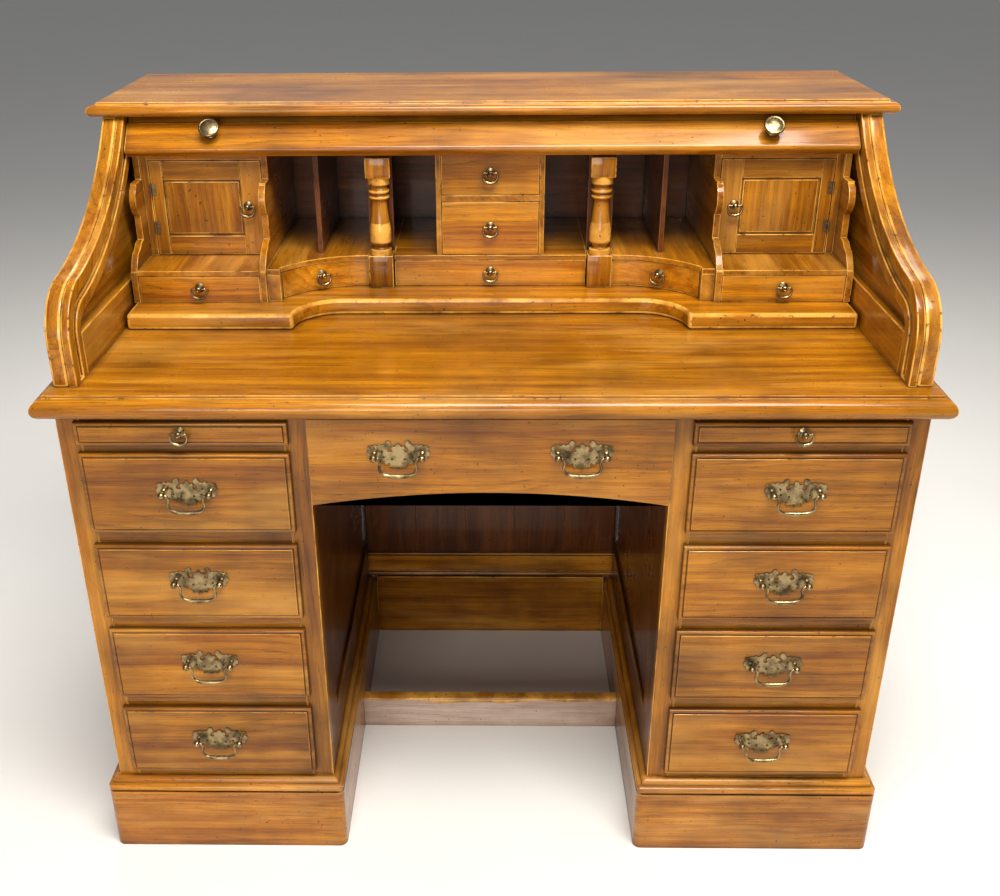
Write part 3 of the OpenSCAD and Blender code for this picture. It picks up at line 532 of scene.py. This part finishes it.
# Outlines, in millimetres: (radius, height) for what is turned, (across, up, radius) for bent bars,
# (across, up) for the right half of the plate and its holes.
ROUND_POST = [(3.9, 0.0), (4.0, 1.0), (3.2, 1.8), (2.6, 2.4), (2.3, 5.0), (2.5, 7.0), (3.6, 8.4),
              (4.6, 10.2), (5.0, 12.2), (5.0, 13.8), (4.5, 15.8), (3.4, 17.4), (1.8, 18.4), (0.0, 18.7)]
ROUND_ROSE = [(7.0, 0.0), (7.1, 0.5), (6.6, 1.1), (5.4, 1.5), (4.2, 2.4), (2.6, 3.0), (2.1, 4.6),
              (2.6, 6.0), (3.8, 7.2), (4.5, 8.8), (4.4, 10.4), (3.5, 11.9), (2.0, 12.7), (1.5, 12.2),
              (0.9, 11.0), (0.0, 10.6)]
BAIL_LINE = [(32.5, 0.0, 1.5), (28.5, 0.0, 1.5), (26.0, -0.5, 1.6), (24.2, -2.6, 1.7), (23.5, -6.0, 1.8),
             (24.0, -10.0, 1.9), (24.8, -14.0, 1.9), (24.2, -18.5, 2.0), (21.6, -22.2, 2.1),
             (17.0, -24.8, 2.4), (11.0, -26.2, 2.9), (0.0, -26.8, 3.3)]
PULL_LINE = [(7.6, 1.2, 1.5), (9.6, 0.6, 1.7), (10.7, -1.6, 1.5), (10.9, -4.8, 1.6), (9.6, -9.0, 1.9),
             (6.6, -12.6, 2.2), (0.0, -14.6, 2.5)]
WING_LINE = [(0.0, 15.6), (2.6, 13.4), (4.2, 10.4), (7.6, 11.2), (9.0, 8.2), (7.6, 5.6), (9.2, 3.2),
             (12.6, 3.4), (14.2, 6.6), (12.6, 10.0), (10.2, 13.0), (10.0, 17.0), (12.8, 19.2),
             (16.0, 17.6), (17.6, 14.2), (21.6, 12.6), (25.2, 14.4), (27.6, 12.2), (31.4, 13.2),
             (34.8, 11.4), (38.0, 11.6), (40.4, 8.8), (39.2, 5.4), (41.4, 2.4), (40.6, -2.0),
             (37.6, -3.6), (37.4, -7.2), (33.6, -8.6), (30.0, -7.2), (27.4, -9.6), (24.2, -9.0),
             (21.4, -11.8), (18.6, -12.0), (16.8, -15.4), (14.6, -13.6), (12.0, -12.4), (10.6, -15.4),
             (11.6, -18.4), (8.6, -20.4), (5.2, -18.6), (3.0, -20.8), (0.0, -23.0)]
WING_HOLES = [[(6.6, -6.4), (9.2, -5.2), (10.2, -8.0), (7.8, -9.4)],
              [(17.6, -3.6), (20.4, -2.4), (20.8, -5.4), (18.4, -6.2)],
              [(19.6, 4.6), (22.6, 6.4), (22.4, 3.0), (20.2, 1.8)]]


def pierced_plate(name, middle):
    """The shaped back plate: a flowing outline with pierced holes, cut from sheet and eased."""
    line = bpy.data.curves.new(name + "_line", "CURVE")
    line.dimensions = "2D"
    line.fill_mode = "BOTH"
    line.extrude = 0.55 * MM
    line.bevel_depth = 0.25 * MM
    line.bevel_resolution = 1
    right = smooth_line(WING_LINE, 3)
    loops = [right + [(-x, z) for x, z in right[-2:0:-1]]]
    for hole in WING_HOLES:
        ring = smooth_line(hole + [hole[0]], 3)[:-1]
        loops += [ring, [(-x, z) for x, z in ring[::-1]]]
    for loop in loops:
        spline = line.splines.new("POLY")
        spline.points.add(len(loop) - 1)
        for point, (x, z) in zip(spline.points, loop):
            point.co = (x * MM, z * MM, 0.0, 1.0)
        spline.use_cyclic_u = True
    holder = bpy.data.objects.new(name + "_holder", line)
    bpy.context.scene.collection.objects.link(holder)
    drawn = bpy.data.meshes.new_from_object(holder.evaluated_get(bpy.context.evaluated_depsgraph_get()))
    points = [middle + Vector((v.co.x, v.co.z, v.co.y)) for v in drawn.vertices]
    faces = [list(p.vertices)[::-1] for p in drawn.polygons]
    bpy.data.objects.remove(holder)
    bpy.data.meshes.remove(drawn)
    bpy.data.curves.remove(line)
    return points, faces


def both_halves(line):
    """A left-right symmetric path and its radii from its right half, in metres."""
    right = smooth_line(line, 4)
    whole = [(-x, z, r) for x, z, r in right[:-1]] + [(x, z, r) for x, z, r in right[::-1]]
    return whole


def turn_about(points, origin, angle):
    spin = Matrix.Rotation(angle, 3, "Z")
    return [origin + spin @ (Vector(p) - origin) for p in points]


def handle_plate(body, bail):
    """Pierced plate and two ball posts on a drawer front."""
    pivot = PIVOT[bail]
    face = pivot + Vector((0, POST_OUT, 0))
    which = "_" + bail.split("_")[1] if body == "centre_drawer" else ""
    piece = Goods(body + "_plate" + which, "aged_brass")
    piece.lay(*pierced_plate(piece.name, face + Vector((0, -0.85 * MM, 0))))
    for side in (-1, 1):
        profile = [(r * MM, h * MM) for r, h in ROUND_POST]
        piece.lay(*turned(profile, face + Vector((side * POST_X, -1.0 * MM, 0)), (0, -1, 0), 24))
    piece.done(body)


def swinging_bail(bail):
    """Swan-necked bail, thick in the middle of its grip."""
    pivot = PIVOT[bail]
    line = both_halves(BAIL_LINE)
    path = [pivot + Vector((x * MM, 0, z * MM)) for x, z, _ in line]
    piece = Goods(bail + "_grip", "aged_brass")
    piece.lay(*tube(path, [r * MM for _, _, r in line], 14))
    piece.done(bail, [bail], weighted=False)


def small_pull(body, ring, angle=0.0):
    """Ball-nosed rose with a crescent drop."""
    pivot = PIVOT[ring]
    way = Matrix.Rotation(angle, 3, "Z") @ Vector((0, -1, 0))
    face = pivot - way * RING_OUT
    rose = Goods(ring + "_rose", "aged_brass")
    rose.lay(*turned([(r * MM, h * MM) for r, h in ROUND_ROSE], face, way, 24))
    rose.done(body)
    line = both_halves(PULL_LINE)
    path = turn_about([pivot + Vector((x * MM, 0, z * MM)) for x, z, _ in line], pivot, angle)
    drop = Goods(ring + "_drop", "aged_brass")
    drop.lay(*tube(path, [r * MM for _, _, r in line], 12))
    bar = [pivot + Vector((x * MM, 0, 0.6 * MM)) for x in (-8.2, -5.0, 0.0, 5.0, 8.2)]
    bar = turn_about(bar, pivot, angle)
    drop.lay(*tube(bar, [1.0 * MM] * 5, 10))
    drop.done(ring, [ring], weighted=False)


# ---- oak pieces -----------------------------------------------------------------------------

PLAIN_EASE = 1.2            # width of a broken arris, mm
EASE = {"desktop": 1.0}
PLAIN = ["desktop", "top_board", "left_roll_side", "right_roll_side", "roll_back", "kneehole_back",
         "left_pedestal", "right_pedestal"]
# The kneehole back's boards above the skirting get the darker shadow_oak: painted shade.
SKIRTING_TOP = 300 * MM     # boards of the kneehole back above this are dark
KNEEHOLE_HALF = 270 * MM    # half the width within which a pedestal's boards face the kneehole
BEHIND_FRONT = -310 * MM    # Y behind the face frames


def hidden_board(node, shape):
    """Whether a board of the case stands deep in shade and gets the darker, less polished shadow_oak: painted
    shade where light doesn't reach.
    """
    low, high, _ = extent(shape)
    if node == "kneehole_back":
        return high.z > SKIRTING_TOP
    if node.endswith("pedestal"):
        return max(abs(low.x), abs(high.x)) < KNEEHOLE_HALF and low.y > BEHIND_FRONT
    return node == "roll_back"


def carried_board(node):
    """A CAD node whose shape stands: each board is eased and given its own grain."""
    piece = Goods(node + "_boards", "polished_oak")
    for shape in boards_of(node):
        finish = "shadow_oak" if hidden_board(node, shape) else None
        piece.board(shape, EASE.get(node, PLAIN_EASE) * MM, finish=finish)
    piece.done("case", [node])


def roll_grain():
    """Grain of a curved side member runs up and back with the curve."""
    lean = math.radians(38)
    along = Vector((0, math.sin(lean), math.cos(lean)))
    across = Vector((0, math.cos(lean), -math.sin(lean)))
    return [along, across, Vector((1, 0, 0))]


def sawn(shape, x, keep_right):
    """The part of a shape to one side of an upright plane, closed again where it was cut."""
    part = shape.copy()
    everything = part.verts[:] + part.edges[:] + part.faces[:]
    cut = bmesh.ops.bisect_plane(part, geom=everything, plane_co=(x, 0, 0), plane_no=(1, 0, 0),
                                 clear_inner=keep_right, clear_outer=not keep_right)
    edges = [e for e in cut["geom_cut"] if isinstance(e, bmesh.types.BMEdge)]
    bmesh.ops.edgeloop_fill(part, edges=edges)
    bmesh.ops.recalc_face_normals(part, faces=part.faces)
    return part


ROLL_SPLIT = 22 * MM        # from the outer face to the hollow line of a roll side


def rejoined(lengths):
    """One member from lengths glued end to end, without the faces inside its joints."""
    whole = bmesh.new()
    held = bpy.data.meshes.new("held")
    joints = []
    for shape in lengths:
        low, high, _ = extent(shape)
        joints += [low.z, high.z]
        shape.to_mesh(held)
        whole.from_mesh(held)
        shape.free()
    bpy.data.meshes.remove(held)
    joints = sorted(joints)[1:-1]
    heights = [(a + b) / 2 for a, b in zip(joints[::2], joints[1::2])]
    glue, mismatch, level = 0.1 * MM, 0.4 * MM, 0.001 * MM
    meeting = []
    for v in whole.verts:
        for z in heights:
            if abs(v.co.z - z) < glue:
                v.co.z = z
                meeting.append(v)
    bmesh.ops.remove_doubles(whole, verts=meeting, dist=mismatch)
    inner = [f for f in whole.faces
             if any(all(abs(v.co.z - z) < level for v in f.verts) for z in heights)]
    bmesh.ops.delete(whole, geom=inner, context="FACES")
    return whole


def roll_side(node):
    """Framed side whose curved front member has a hollow line a third of the way in."""
    piece = Goods(node + "_boards", "polished_oak")
    low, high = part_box(node)
    outer = low.x < 0
    line = low.x + ROLL_SPLIT if outer else high.x - ROLL_SPLIT
    thin, shortest, longest = 20 * MM, 70 * MM, 200 * MM
    lengths = []
    for shape in boards_of(node):
        size = extent(shape)[2]
        if size.x > thin and shortest < size.z < longest:
            lengths.append(shape)
        else:
            piece.board(shape, 1.6 * MM)
    member = rejoined(lengths)
    bmesh.ops.dissolve_limit(member, angle_limit=math.radians(0.6), verts=member.verts, edges=member.edges)
    piece.board(sawn(member, line, not outer), 4.0 * MM, roll_grain(), tone_and_light=0.7)
    piece.board(sawn(member, line, outer), 1.8 * MM, roll_grain(), tone_and_light=0.55)
    member.free()
    piece.done("case", [node])


def gallery_base():
    """Base board of the gallery, its front edge well rounded over."""
    piece = Goods("gallery_base_board", "polished_oak")
    for shape in boards_of("gallery_base"):
        # A high tone of 1.1 lightens the base board: painted light.
        piece.board(shape, 5.0 * MM, tone_and_light=1.1)
    piece.done("case", ["gallery_base"])


def plinth(node):
    piece = Goods(node + "_boards", "plinth_oak")
    for shape in boards_of(node):
        piece.board(shape, 1.8 * MM)
    piece.done("case", [node])


def foot_rail():
    """Rail across the kneehole, its front arris worn away in hollows by shoes."""
    low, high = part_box("foot_rail")
    steps, arc = 120, 6
    least, most, lip = 3 * MM, 7.5 * MM, 1.5 * MM
    rows = []
    for k in range(steps + 1):
        x = low.x + (high.x - low.x) * k / steps
        rub = 0.5 + 0.5 * math.sin(x * 38 + 1.1) * math.sin(x * 17 + 0.4)
        from_middle = 2 * abs(x) / (high.x - low.x)
        hollow = least + most * rub * (1 - from_middle ** 4)
        row = [(low.y, low.z), (low.y, high.z - hollow - lip)]
        for s in range(1, arc):
            a = math.pi / 2 * s / arc
            row.append((low.y + hollow * (1 - math.cos(a)), high.z - lip - hollow * (1 - math.sin(a))))
        row += [(low.y + hollow + lip, high.z - 0.4 * MM), (high.y - 2 * MM, high.z),
                (high.y, high.z - 2 * MM), (high.y, low.z)]
        rows.append([Vector((x, y, z)) for y, z in row])
    wide = len(rows[0])
    points = [p for row in rows for p in row]
    worn = [1.0 if 1 <= s <= arc + 1 else 0.0 for s in range(wide)] * steps
    piece = Goods("foot_rail_board", "polished_oak")
    piece.lay(points, sleeve(len(rows), wide), worn=worn + [0.0, 0.0])
    # The rail's front face gets the pale whitish oak: a painted reflection of the floor.
    piece.finishes.append("floor_reflection_oak")
    for k in range(steps):
        piece.kind[k * wide] = 1
    piece.done("case", ["foot_rail"], weighted=False)


# The thumbnail moulding: (inset from the edge, depth behind the face), and how worn each step is; negative
# steps are darkened: painted shade on the edge faces in the gap round the front and on the bead's outer
# rounding, and painted shade with grime in the quirk.
THUMB = [(0.0, 9.7), (0.0, 4.2), (0.25, 3.0), (0.9, 1.9), (1.9, 1.2), (3.2, 0.9), (4.6, 1.1), (5.4, 1.7),
         (5.9, 2.1), (6.3, 1.9), (6.6, 0.5), (7.1, 0.0)]
FRONT_WEAR_AND_SHADE = [-1.0, -1.0, -0.7, -0.3, 0.0, 0.0, -0.2, -0.7, -1.0, -1.0, -0.6, 1.0]


def moulded_front(piece, low, high):
    """A front with a thumbnail moulding worked round its edge, a little uneven from handwork."""
    back = high.y
    front = low.y
    points, faces, worn = [], [], []
    per_side = 16
    rings = [(0.0, None)] + [(a * MM, d * MM) for a, d in THUMB]
    corners = 4 * per_side
    for inset, deep in rings:
        y = back if deep is None else front + deep
        x0, x1, z0, z1 = low.x + inset, high.x - inset, low.z + inset, high.z - inset
        around = ((x0, z0), (x1, z0), (x1, z1), (x0, z1))
        for a, b in zip(around, around[1:] + around[:1]):
            for s in range(per_side):
                t = s / per_side
                p = Vector((a[0] + (b[0] - a[0]) * t, y, a[1] + (b[1] - a[1]) * t))
                if deep is not None and deep < 4 * MM and 0 < s:
                    p.y += 0.35 * MM * max(0.0, noise.noise(p * 21))
                points.append(p)
    for k in range(len(rings) - 1):
        for s in range(corners):
            t = (s + 1) % corners
            faces.append([k * corners + s, (k + 1) * corners + s, (k + 1) * corners + t, k * corners + t])
            # Negative steps darken the front: painted shade on its edge faces, on the bead's outer rounding
            # and in the quirk, where there is also grime.
            worn.append(FRONT_WEAR_AND_SHADE[k])
    faces.append(list(range(corners)))
    faces.append([(len(rings) - 1) * corners + s for s in range(corners)][::-1])
    # The moulded pedestal fronts take low tones, 0 to 0.6, which darken them: painted shade.
    piece.lay(points, faces, worn=worn + [0.0, 0.0], tone_and_light=rng.uniform(0.0, 0.6))


def front_board(shapes):
    """The foremost board of a drawer and the others."""
    oak_shapes = [s for s in shapes if not is_brass(s)]
    for s in shapes:
        if is_brass(s):
            s.free()
    oak_shapes.sort(key=lambda s: (round(extent(s)[0].y, 4), -extent(s)[2].x * extent(s)[2].z))
    return oak_shapes[0], oak_shapes[1:]


def drawer(node, moulded=True, width=1.2 * MM, tone_and_light=1.5):
    """Oak front, plainer sides, back and bottom."""
    piece = Goods(node + "_boards", "polished_oak")
    front, box = front_board(boards_of(node))
    if moulded:
        low, high, _ = extent(front)
        moulded_front(piece, low, high)
        front.free()
    else:
        # The gallery's plain fronts take a high tone of 1.5 by default, lighter than any random tone: painted
        # light.
        piece.board(front, width, tone_and_light=tone_and_light)
    for shape in box:
        piece.board(shape, 0.8 * MM, finish="drawer_side_oak")
    piece.done(node, [node])


def door(node):
    """Framed door: a raised field with a dark hollow round it, and two small hinges."""
    piece = Goods(node + "_boards", "polished_oak")
    brass = Goods(node + "_hinges", "aged_brass")
    for shape in boards_of(node):
        low, high, size = extent(shape)
        if size.z < 19 * MM and size.x < 12 * MM:
            brass.board(shape, 0.3 * MM, sharp=40)
        elif is_brass(shape):
            shape.free()
        else:
            field = size.y < 4 * MM
            upright = [Vector((0, 0, 1)), Vector((1, 0, 0)), Vector((0, 1, 0))]
            piece.board(shape, (2.2 if field else 1.3) * MM, upright if field or size.z > size.x else None)
    piece.done(node, [node])
    brass.done(node)


# The turned column: (radius, height above the floor), in millimetres.
COLUMN = [(19.0, 850.0), (19.2, 851.5), (19.6, 854.0), (19.2, 856.5), (17.2, 858.0), (13.6, 859.2),
          (11.6, 861.0), (11.4, 863.0), (13.4, 866.0), (16.2, 869.6), (17.8, 873.4), (18.1, 876.5),
          (17.6, 882.0), (16.2, 890.0), (14.6, 900.0), (13.2, 911.0), (12.1, 922.0), (11.6, 931.0),
          (11.8, 935.4), (14.4, 936.8), (15.6, 939.0), (15.2, 941.4), (13.0, 943.0), (12.6, 944.6),
          (14.8, 946.0), (15.8, 948.4), (15.2, 950.8), (13.2, 952.4), (12.6, 954.0), (13.0, 956.4),
          (14.6, 958.4), (17.4, 959.8), (19.4, 962.4), (19.6, 965.4), (18.6, 968.2), (17.0, 969.8),
          (17.0, 971.4)]
COLUMN_WIDEST = 16.6
COLUMN_BLOCK = 38 * MM
COLUMN_SIDES = 36


def column(piece, x):
    """One turned vase column between square blocks."""
    low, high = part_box("gallery_columns")
    middle = Vector((x, (low.y + high.y) / 2, 0))
    for z0, z1 in ((low.z, 850.5 * MM), (970.5 * MM, high.z)):
        shape = box_shape((x - COLUMN_BLOCK / 2, low.y, z0), (x + COLUMN_BLOCK / 2, high.y, z1))
        piece.board(shape, 1.4 * MM, [Vector((0, 0, 1)), Vector((1, 0, 0)), Vector((0, 1, 0))])
    profile = [(min(r, COLUMN_WIDEST) * MM, z * MM) for r, z in smooth_line(COLUMN, 2)]
    points, faces = turned(profile, middle, (0, 0, 1), COLUMN_SIDES)
    rubbed_beyond = 15.2 * MM
    radii = [profile[min(k // COLUMN_SIDES, len(profile) - 1)][0] for k in range(len(faces))]
    worn = [1.0 if radius > rubbed_beyond else 0.0 for radius in radii]
    piece.lay(points, faces, [Vector((0, 0, 1)), Vector((1, 0, 0)), Vector((0, 1, 0))], worn)


def columns():
    low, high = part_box("gallery_columns")
    piece = Goods("gallery_column_turnings", "polished_oak")
    for x in (low.x + COLUMN_BLOCK / 2, high.x - COLUMN_BLOCK / 2):
        column(piece, x)
    piece.done("case", ["gallery_columns"], sharp=50, weighted=False)


# The dished knob: (radius, height), in millimetres.
KNOB = [(8.6, -0.6), (8.8, 1.0), (7.6, 2.0), (5.2, 2.8), (4.4, 4.6), (4.3, 8.0), (5.4, 10.0), (9.0, 11.2),
        (13.6, 12.2), (15.3, 13.4), (15.5, 14.8), (14.8, 16.2), (13.4, 16.9), (12.6, 16.4), (11.6, 16.6),
        (8.0, 17.6), (4.0, 18.0), (0.0, 18.1)]


KNOB_RADIUS = 15.4 * MM
RAIL_SLOPE = math.radians(46.3)


def knobs():
    """Dished mushroom knobs on the lead rail."""
    low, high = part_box("tambour_knobs")
    out = Vector((0, -math.sin(RAIL_SLOPE), math.cos(RAIL_SLOPE)))
    piece = Goods("lead_rail_knobs", "aged_brass")
    for x in (low.x + KNOB_RADIUS, high.x - KNOB_RADIUS):
        tip = Vector((x, (low.y + high.y) / 2, (low.z + high.z) / 2))
        base = tip - out * 9.0 * MM
        piece.lay(*turned([(r * MM, h * MM) for r, h in smooth_line(KNOB, 2)], base, out, 36))
    piece.done("tambour_lead", ["tambour_knobs"], sharp=60, weighted=False)


# ---- tambour --------------------------------------------------------------------------------

# Section of a slat: (along the curtain, depth), in millimetres.
SLAT = [(-7.3, 3.6), (-7.4, -0.5), (-7.0, -2.6), (-5.6, -4.2), (-3.0, -5.0), (0.0, -5.2), (3.0, -5.0),
        (5.6, -4.2), (7.0, -2.6), (7.4, -0.5), (7.3, 3.6), (5.6, 4.6), (-5.6, 4.6)]
CANVAS = (4.7, 5.5)         # depths of the canvas behind the slats, mm
CANVAS_SHARE = 0.98         # its width as a share of the slats'
UPPER_CURVE = 484 * MM      # slat line on the hollow curve
CLOSE_UPPER = math.radians(42)
CLOSE_LEAD = math.radians(85.7)


def on_upper(angle, radius):
    """Point on the hollow curve; the angle grows towards the back of the desk."""
    centre = PIVOT["tambour_upper"]
    return Vector((0, centre.y + radius * math.sin(angle), centre.z - radius * math.cos(angle)))


def folded(closed, turn, first, last, start, end, where):
    """Angle at rest of a point that belongs at a closed angle once its share of the turn is added."""
    low, high = first, last
    way = end - start
    halvings = 40
    for _ in range(halvings):
        middle = (low + high) / 2
        t = min(max((where(middle) - start).dot(way) / way.length_squared, 0.0), 1.0)
        if middle + turn * t * t * (3 - 2 * t) > closed:
            high = middle
        else:
            low = middle
    return (low + high) / 2


def slat_ring(closed_angles, radius, half, sense, place):
    """Slats and their canvas drawn at closed angles, then folded to rest by place()."""
    points, faces = [], []
    for middle in closed_angles:
        first = len(points)
        for x in (-half, half):
            for along, deep in SLAT:
                points.append((x, middle + along * MM / radius, radius + sense * deep * MM))
        faces += [[first + i for i in face] for face in sleeve(2, len(SLAT))]
    low, high = min(closed_angles), max(closed_angles)
    steps = 4 * len(closed_angles)
    edge = half * CANVAS_SHARE
    first = len(points)
    for k in range(steps + 1):
        angle = low + (high - low) * k / steps
        for x, deep in ((-edge, CANVAS[0]), (edge, CANVAS[0]), (edge, CANVAS[1]), (-edge, CANVAS[1])):
            points.append((x, angle, radius + sense * deep * MM))
    faces += [[first + i for i in face] for face in sleeve(steps + 1, 4)]
    return [place(*p) for p in points], faces


def curtain():
    """The slats that follow the lead rail, drawn where they lie folded away at rest."""
    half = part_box("tambour_middle_slat")[1].x
    start, end = on_upper(math.radians(53.5), UPPER_CURVE), on_upper(math.radians(51.5), UPPER_CURVE)
    pitch = math.radians(1.95)

    def rest_upper(x, angle, radius):
        def where(a):
            return on_upper(-a, radius)
        back = folded(-angle, CLOSE_UPPER, math.radians(-53.5), math.radians(-51.3), start, end, where)
        p = on_upper(-back, radius)
        return Vector((x, p.y, p.z))
    angles = [math.radians(10.4) + pitch * k for k in range(22)]
    piece = Goods("curtain_upper_slats", "polished_oak")
    points, faces = slat_ring(angles, UPPER_CURVE, half, 1, rest_upper)
    piece.lay(points, faces, [Vector((1, 0, 0)), Vector((0, 1, 0)), Vector((0, 0, 1))])
    made = piece.done(None, weighted=False)
    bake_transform(made)


def polar(p, centre):
    return math.atan2(p.z - centre.z, p.y - centre.y)


def lower_curtain():
    """The slats between the driven slat and the lead rail, folded into the gap between them at rest."""
    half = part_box("tambour_middle_slat")[1].x
    centre = PIVOT["tambour_lead"]
    start, end = on_upper(math.radians(49.42), UPPER_CURVE), on_upper(math.radians(49.22), UPPER_CURVE)
    first, last = polar(start, centre), polar(end, centre)
    reach = (start - centre).yz.length

    def rest_lower(x, angle, radius):
        def where(a):
            return Vector((0, centre.y + radius * math.cos(a), centre.z + radius * math.sin(a)))
        back = folded(angle, CLOSE_LEAD, first - 0.004, last + 0.004, start, end, where)
        p = where(back)
        return Vector((x, p.y, p.z))
    pitch = 16.5 * MM / reach
    count = int((CLOSE_LEAD - 0.02) / pitch)
    angles = [first + pitch * (0.55 + k) for k in range(count)]
    piece = Goods("curtain_lower_slats", "polished_oak")
    points, faces = slat_ring(angles, reach, half, -1, rest_lower)
    piece.lay(points, faces, [Vector((1, 0, 0)), Vector((0, 1, 0)), Vector((0, 0, 1))])
    made = piece.done(None, weighted=False)
    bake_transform(made)


def tambour_rails():
    rails = (("tambour_lead_rail", "tambour_lead", 1.6), ("tambour_middle_slat", "tambour_upper", 2.0))
    for node, body, width in rails:
        piece = Goods(node + "_board", "polished_oak")
        for shape in boards_of(node):
            piece.board(shape, width * MM)
        piece.done(body, [node])
    # Painted shade: the stored slats inside the case get the darker shadow_oak.
    stored = Goods("stored_slats", "shadow_oak")
    for shape in boards_of("tambour_slats"):
        stored.board(shape, 2.0 * MM)
    stored.done("case", ["tambour_slats"])


def gallery():
    """Partitions, shelves and pigeonholes; what lies deep inside gets the darker shadow_oak, as painted
    shade.
    """
    piece = Goods("gallery_case_boards", "polished_oak")
    fronts, back, shelf = 60 * MM, 200 * MM, 850 * MM
    for shape in boards_of("gallery_case"):
        low, high, size = extent(shape)
        inside = low.y > fronts and size.y > 6 * MM
        wide_back = size.x > 900 * MM and low.y > back
        # Boards deep in the pigeonholes get the darker shadow_oak: painted shade.
        dark = (inside or wide_back) and high.z > shelf
        piece.board(shape, 1.1 * MM, finish="shadow_oak" if dark else None)
    piece.done("case", ["gallery_case"])


def runners():
    # Painted shade: the runners inside the case get the darker shadow_oak.
    piece = Goods("drawer_runner_strips", "shadow_oak")
    for shape in boards_of("drawer_runners"):
        piece.board(shape, 1.0 * MM)
    piece.done("case", ["drawer_runners"])


# ---- putting the desk together --------------------------------------------------------------

def build_desk():
    for node in PLAIN:
        if node.endswith("roll_side"):
            roll_side(node)
        else:
            carried_board(node)
    for node in ("left_plinth", "right_plinth"):
        plinth(node)
    foot_rail()
    gallery_base()
    gallery()
    columns()
    runners()
    tambour_rails()
    knobs()
    curtain()
    lower_curtain()
    for side in ("left", "right"):
        for k in (1, 2, 3, 4):
            drawer(f"{side}_drawer_{k}")
            handle_plate(f"{side}_drawer_{k}", f"{side}_bail_{k}")
            swinging_bail(f"{side}_bail_{k}")
        drawer(f"{side}_slide")
        small_pull(f"{side}_slide", f"{side}_slide_ring")
        door(f"{side}_door")
        small_pull(f"{side}_door", f"{side}_door_ring")
        drawer(f"{side}_small_drawer", moulded=False)
        small_pull(f"{side}_small_drawer", f"{side}_small_ring")
        drawer(f"{side}_curved_drawer", moulded=False)
        lean = math.radians(26.5 if side == "left" else -26.5)
        small_pull(f"{side}_curved_drawer", f"{side}_curved_ring", lean)
    drawer("centre_drawer", moulded=False, width=3.0 * MM, tone_and_light=0.5)
    for side in ("left", "right"):
        handle_plate("centre_drawer", f"centre_{side}_bail")
        swinging_bail(f"centre_{side}_bail")
    for part in ("upper_stack", "lower_stack", "wide"):
        drawer(part + "_drawer", moulded=False)
        small_pull(part + "_drawer", part + "_ring")


# ---- floor, light and camera ----------------------------------------------------------------

def floor():
    reach = 60.0
    mesh = bpy.data.meshes.new("floor")
    corners = [(-reach, -reach, 0), (reach, -reach, 0), (reach, reach, 0), (-reach, reach, 0)]
    mesh.from_pydata(corners, [], [(0, 1, 2, 3)])
    mesh.materials.append(floor_paint())
    made = bpy.data.objects.new("floor", mesh)
    bpy.context.scene.collection.objects.link(made)


def soft_light(name, place, aim, size, power, colour):
    lamp = bpy.data.lights.new(name, "AREA")
    lamp.shape = "RECTANGLE"
    lamp.size, lamp.size_y = size
    lamp.energy = power
    lamp.color = colour
    made = bpy.data.objects.new(name, lamp)
    made.location = place
    made.rotation_mode = "QUATERNION"
    made.rotation_quaternion = (Vector(aim) - Vector(place)).to_track_quat("-Z", "Y")
    bpy.context.scene.collection.objects.link(made)


def lights():
    soft_light("key", (0.4, -1.25, 3.2), (0, 0, 0.6), (1.8, 1.2), 150, (1.0, 0.97, 0.92))
    soft_light("fill", (-0.5, -3.2, 1.3), (0, 0, 0.5), (1.6, 1.2), 46, (1.0, 0.97, 0.93))
    soft_light("top", (0.1, 1.6, 2.4), (0, 0, 0.75), (2.6, 0.9), 36, (1.0, 0.98, 0.95))
    world = bpy.data.worlds.new("pale_room")
    world.use_nodes = True
    back = world.node_tree.nodes["Background"]
    back.inputs[0].default_value = (0.86, 0.88, 0.9, 1.0)
    back.inputs[1].default_value = 0.26
    bpy.context.scene.world = world
    bpy.context.scene.view_settings.view_transform = "Standard"


def camera():
    """Stands in front of the desk at head height, looking down at it."""
    yaw, pitch, roll = math.radians(-1.144), math.radians(26.241), math.radians(-0.463)
    ahead = Vector((math.sin(yaw) * math.cos(pitch), math.cos(yaw) * math.cos(pitch), -math.sin(pitch)))
    right = Vector((math.cos(yaw), -math.sin(yaw), 0))
    up = right.cross(ahead)
    right, up = right * math.cos(roll) + up * math.sin(roll), up * math.cos(roll) - right * math.sin(roll)
    lens = bpy.data.cameras.new("camera")
    lens.lens = 40.92
    lens.sensor_width = 36.0
    lens.shift_x = 0.0303
    made = bpy.data.objects.new("camera", lens)
    made.rotation_mode = "QUATERNION"
    made.rotation_quaternion = Matrix((right, up, -ahead)).transposed().to_quaternion()
    made.location = (0.0, -1.6673, 1.3627)
    bpy.context.scene.collection.objects.link(made)
    bpy.context.scene.camera = made


build_desk()
floor()
lights()
camera()
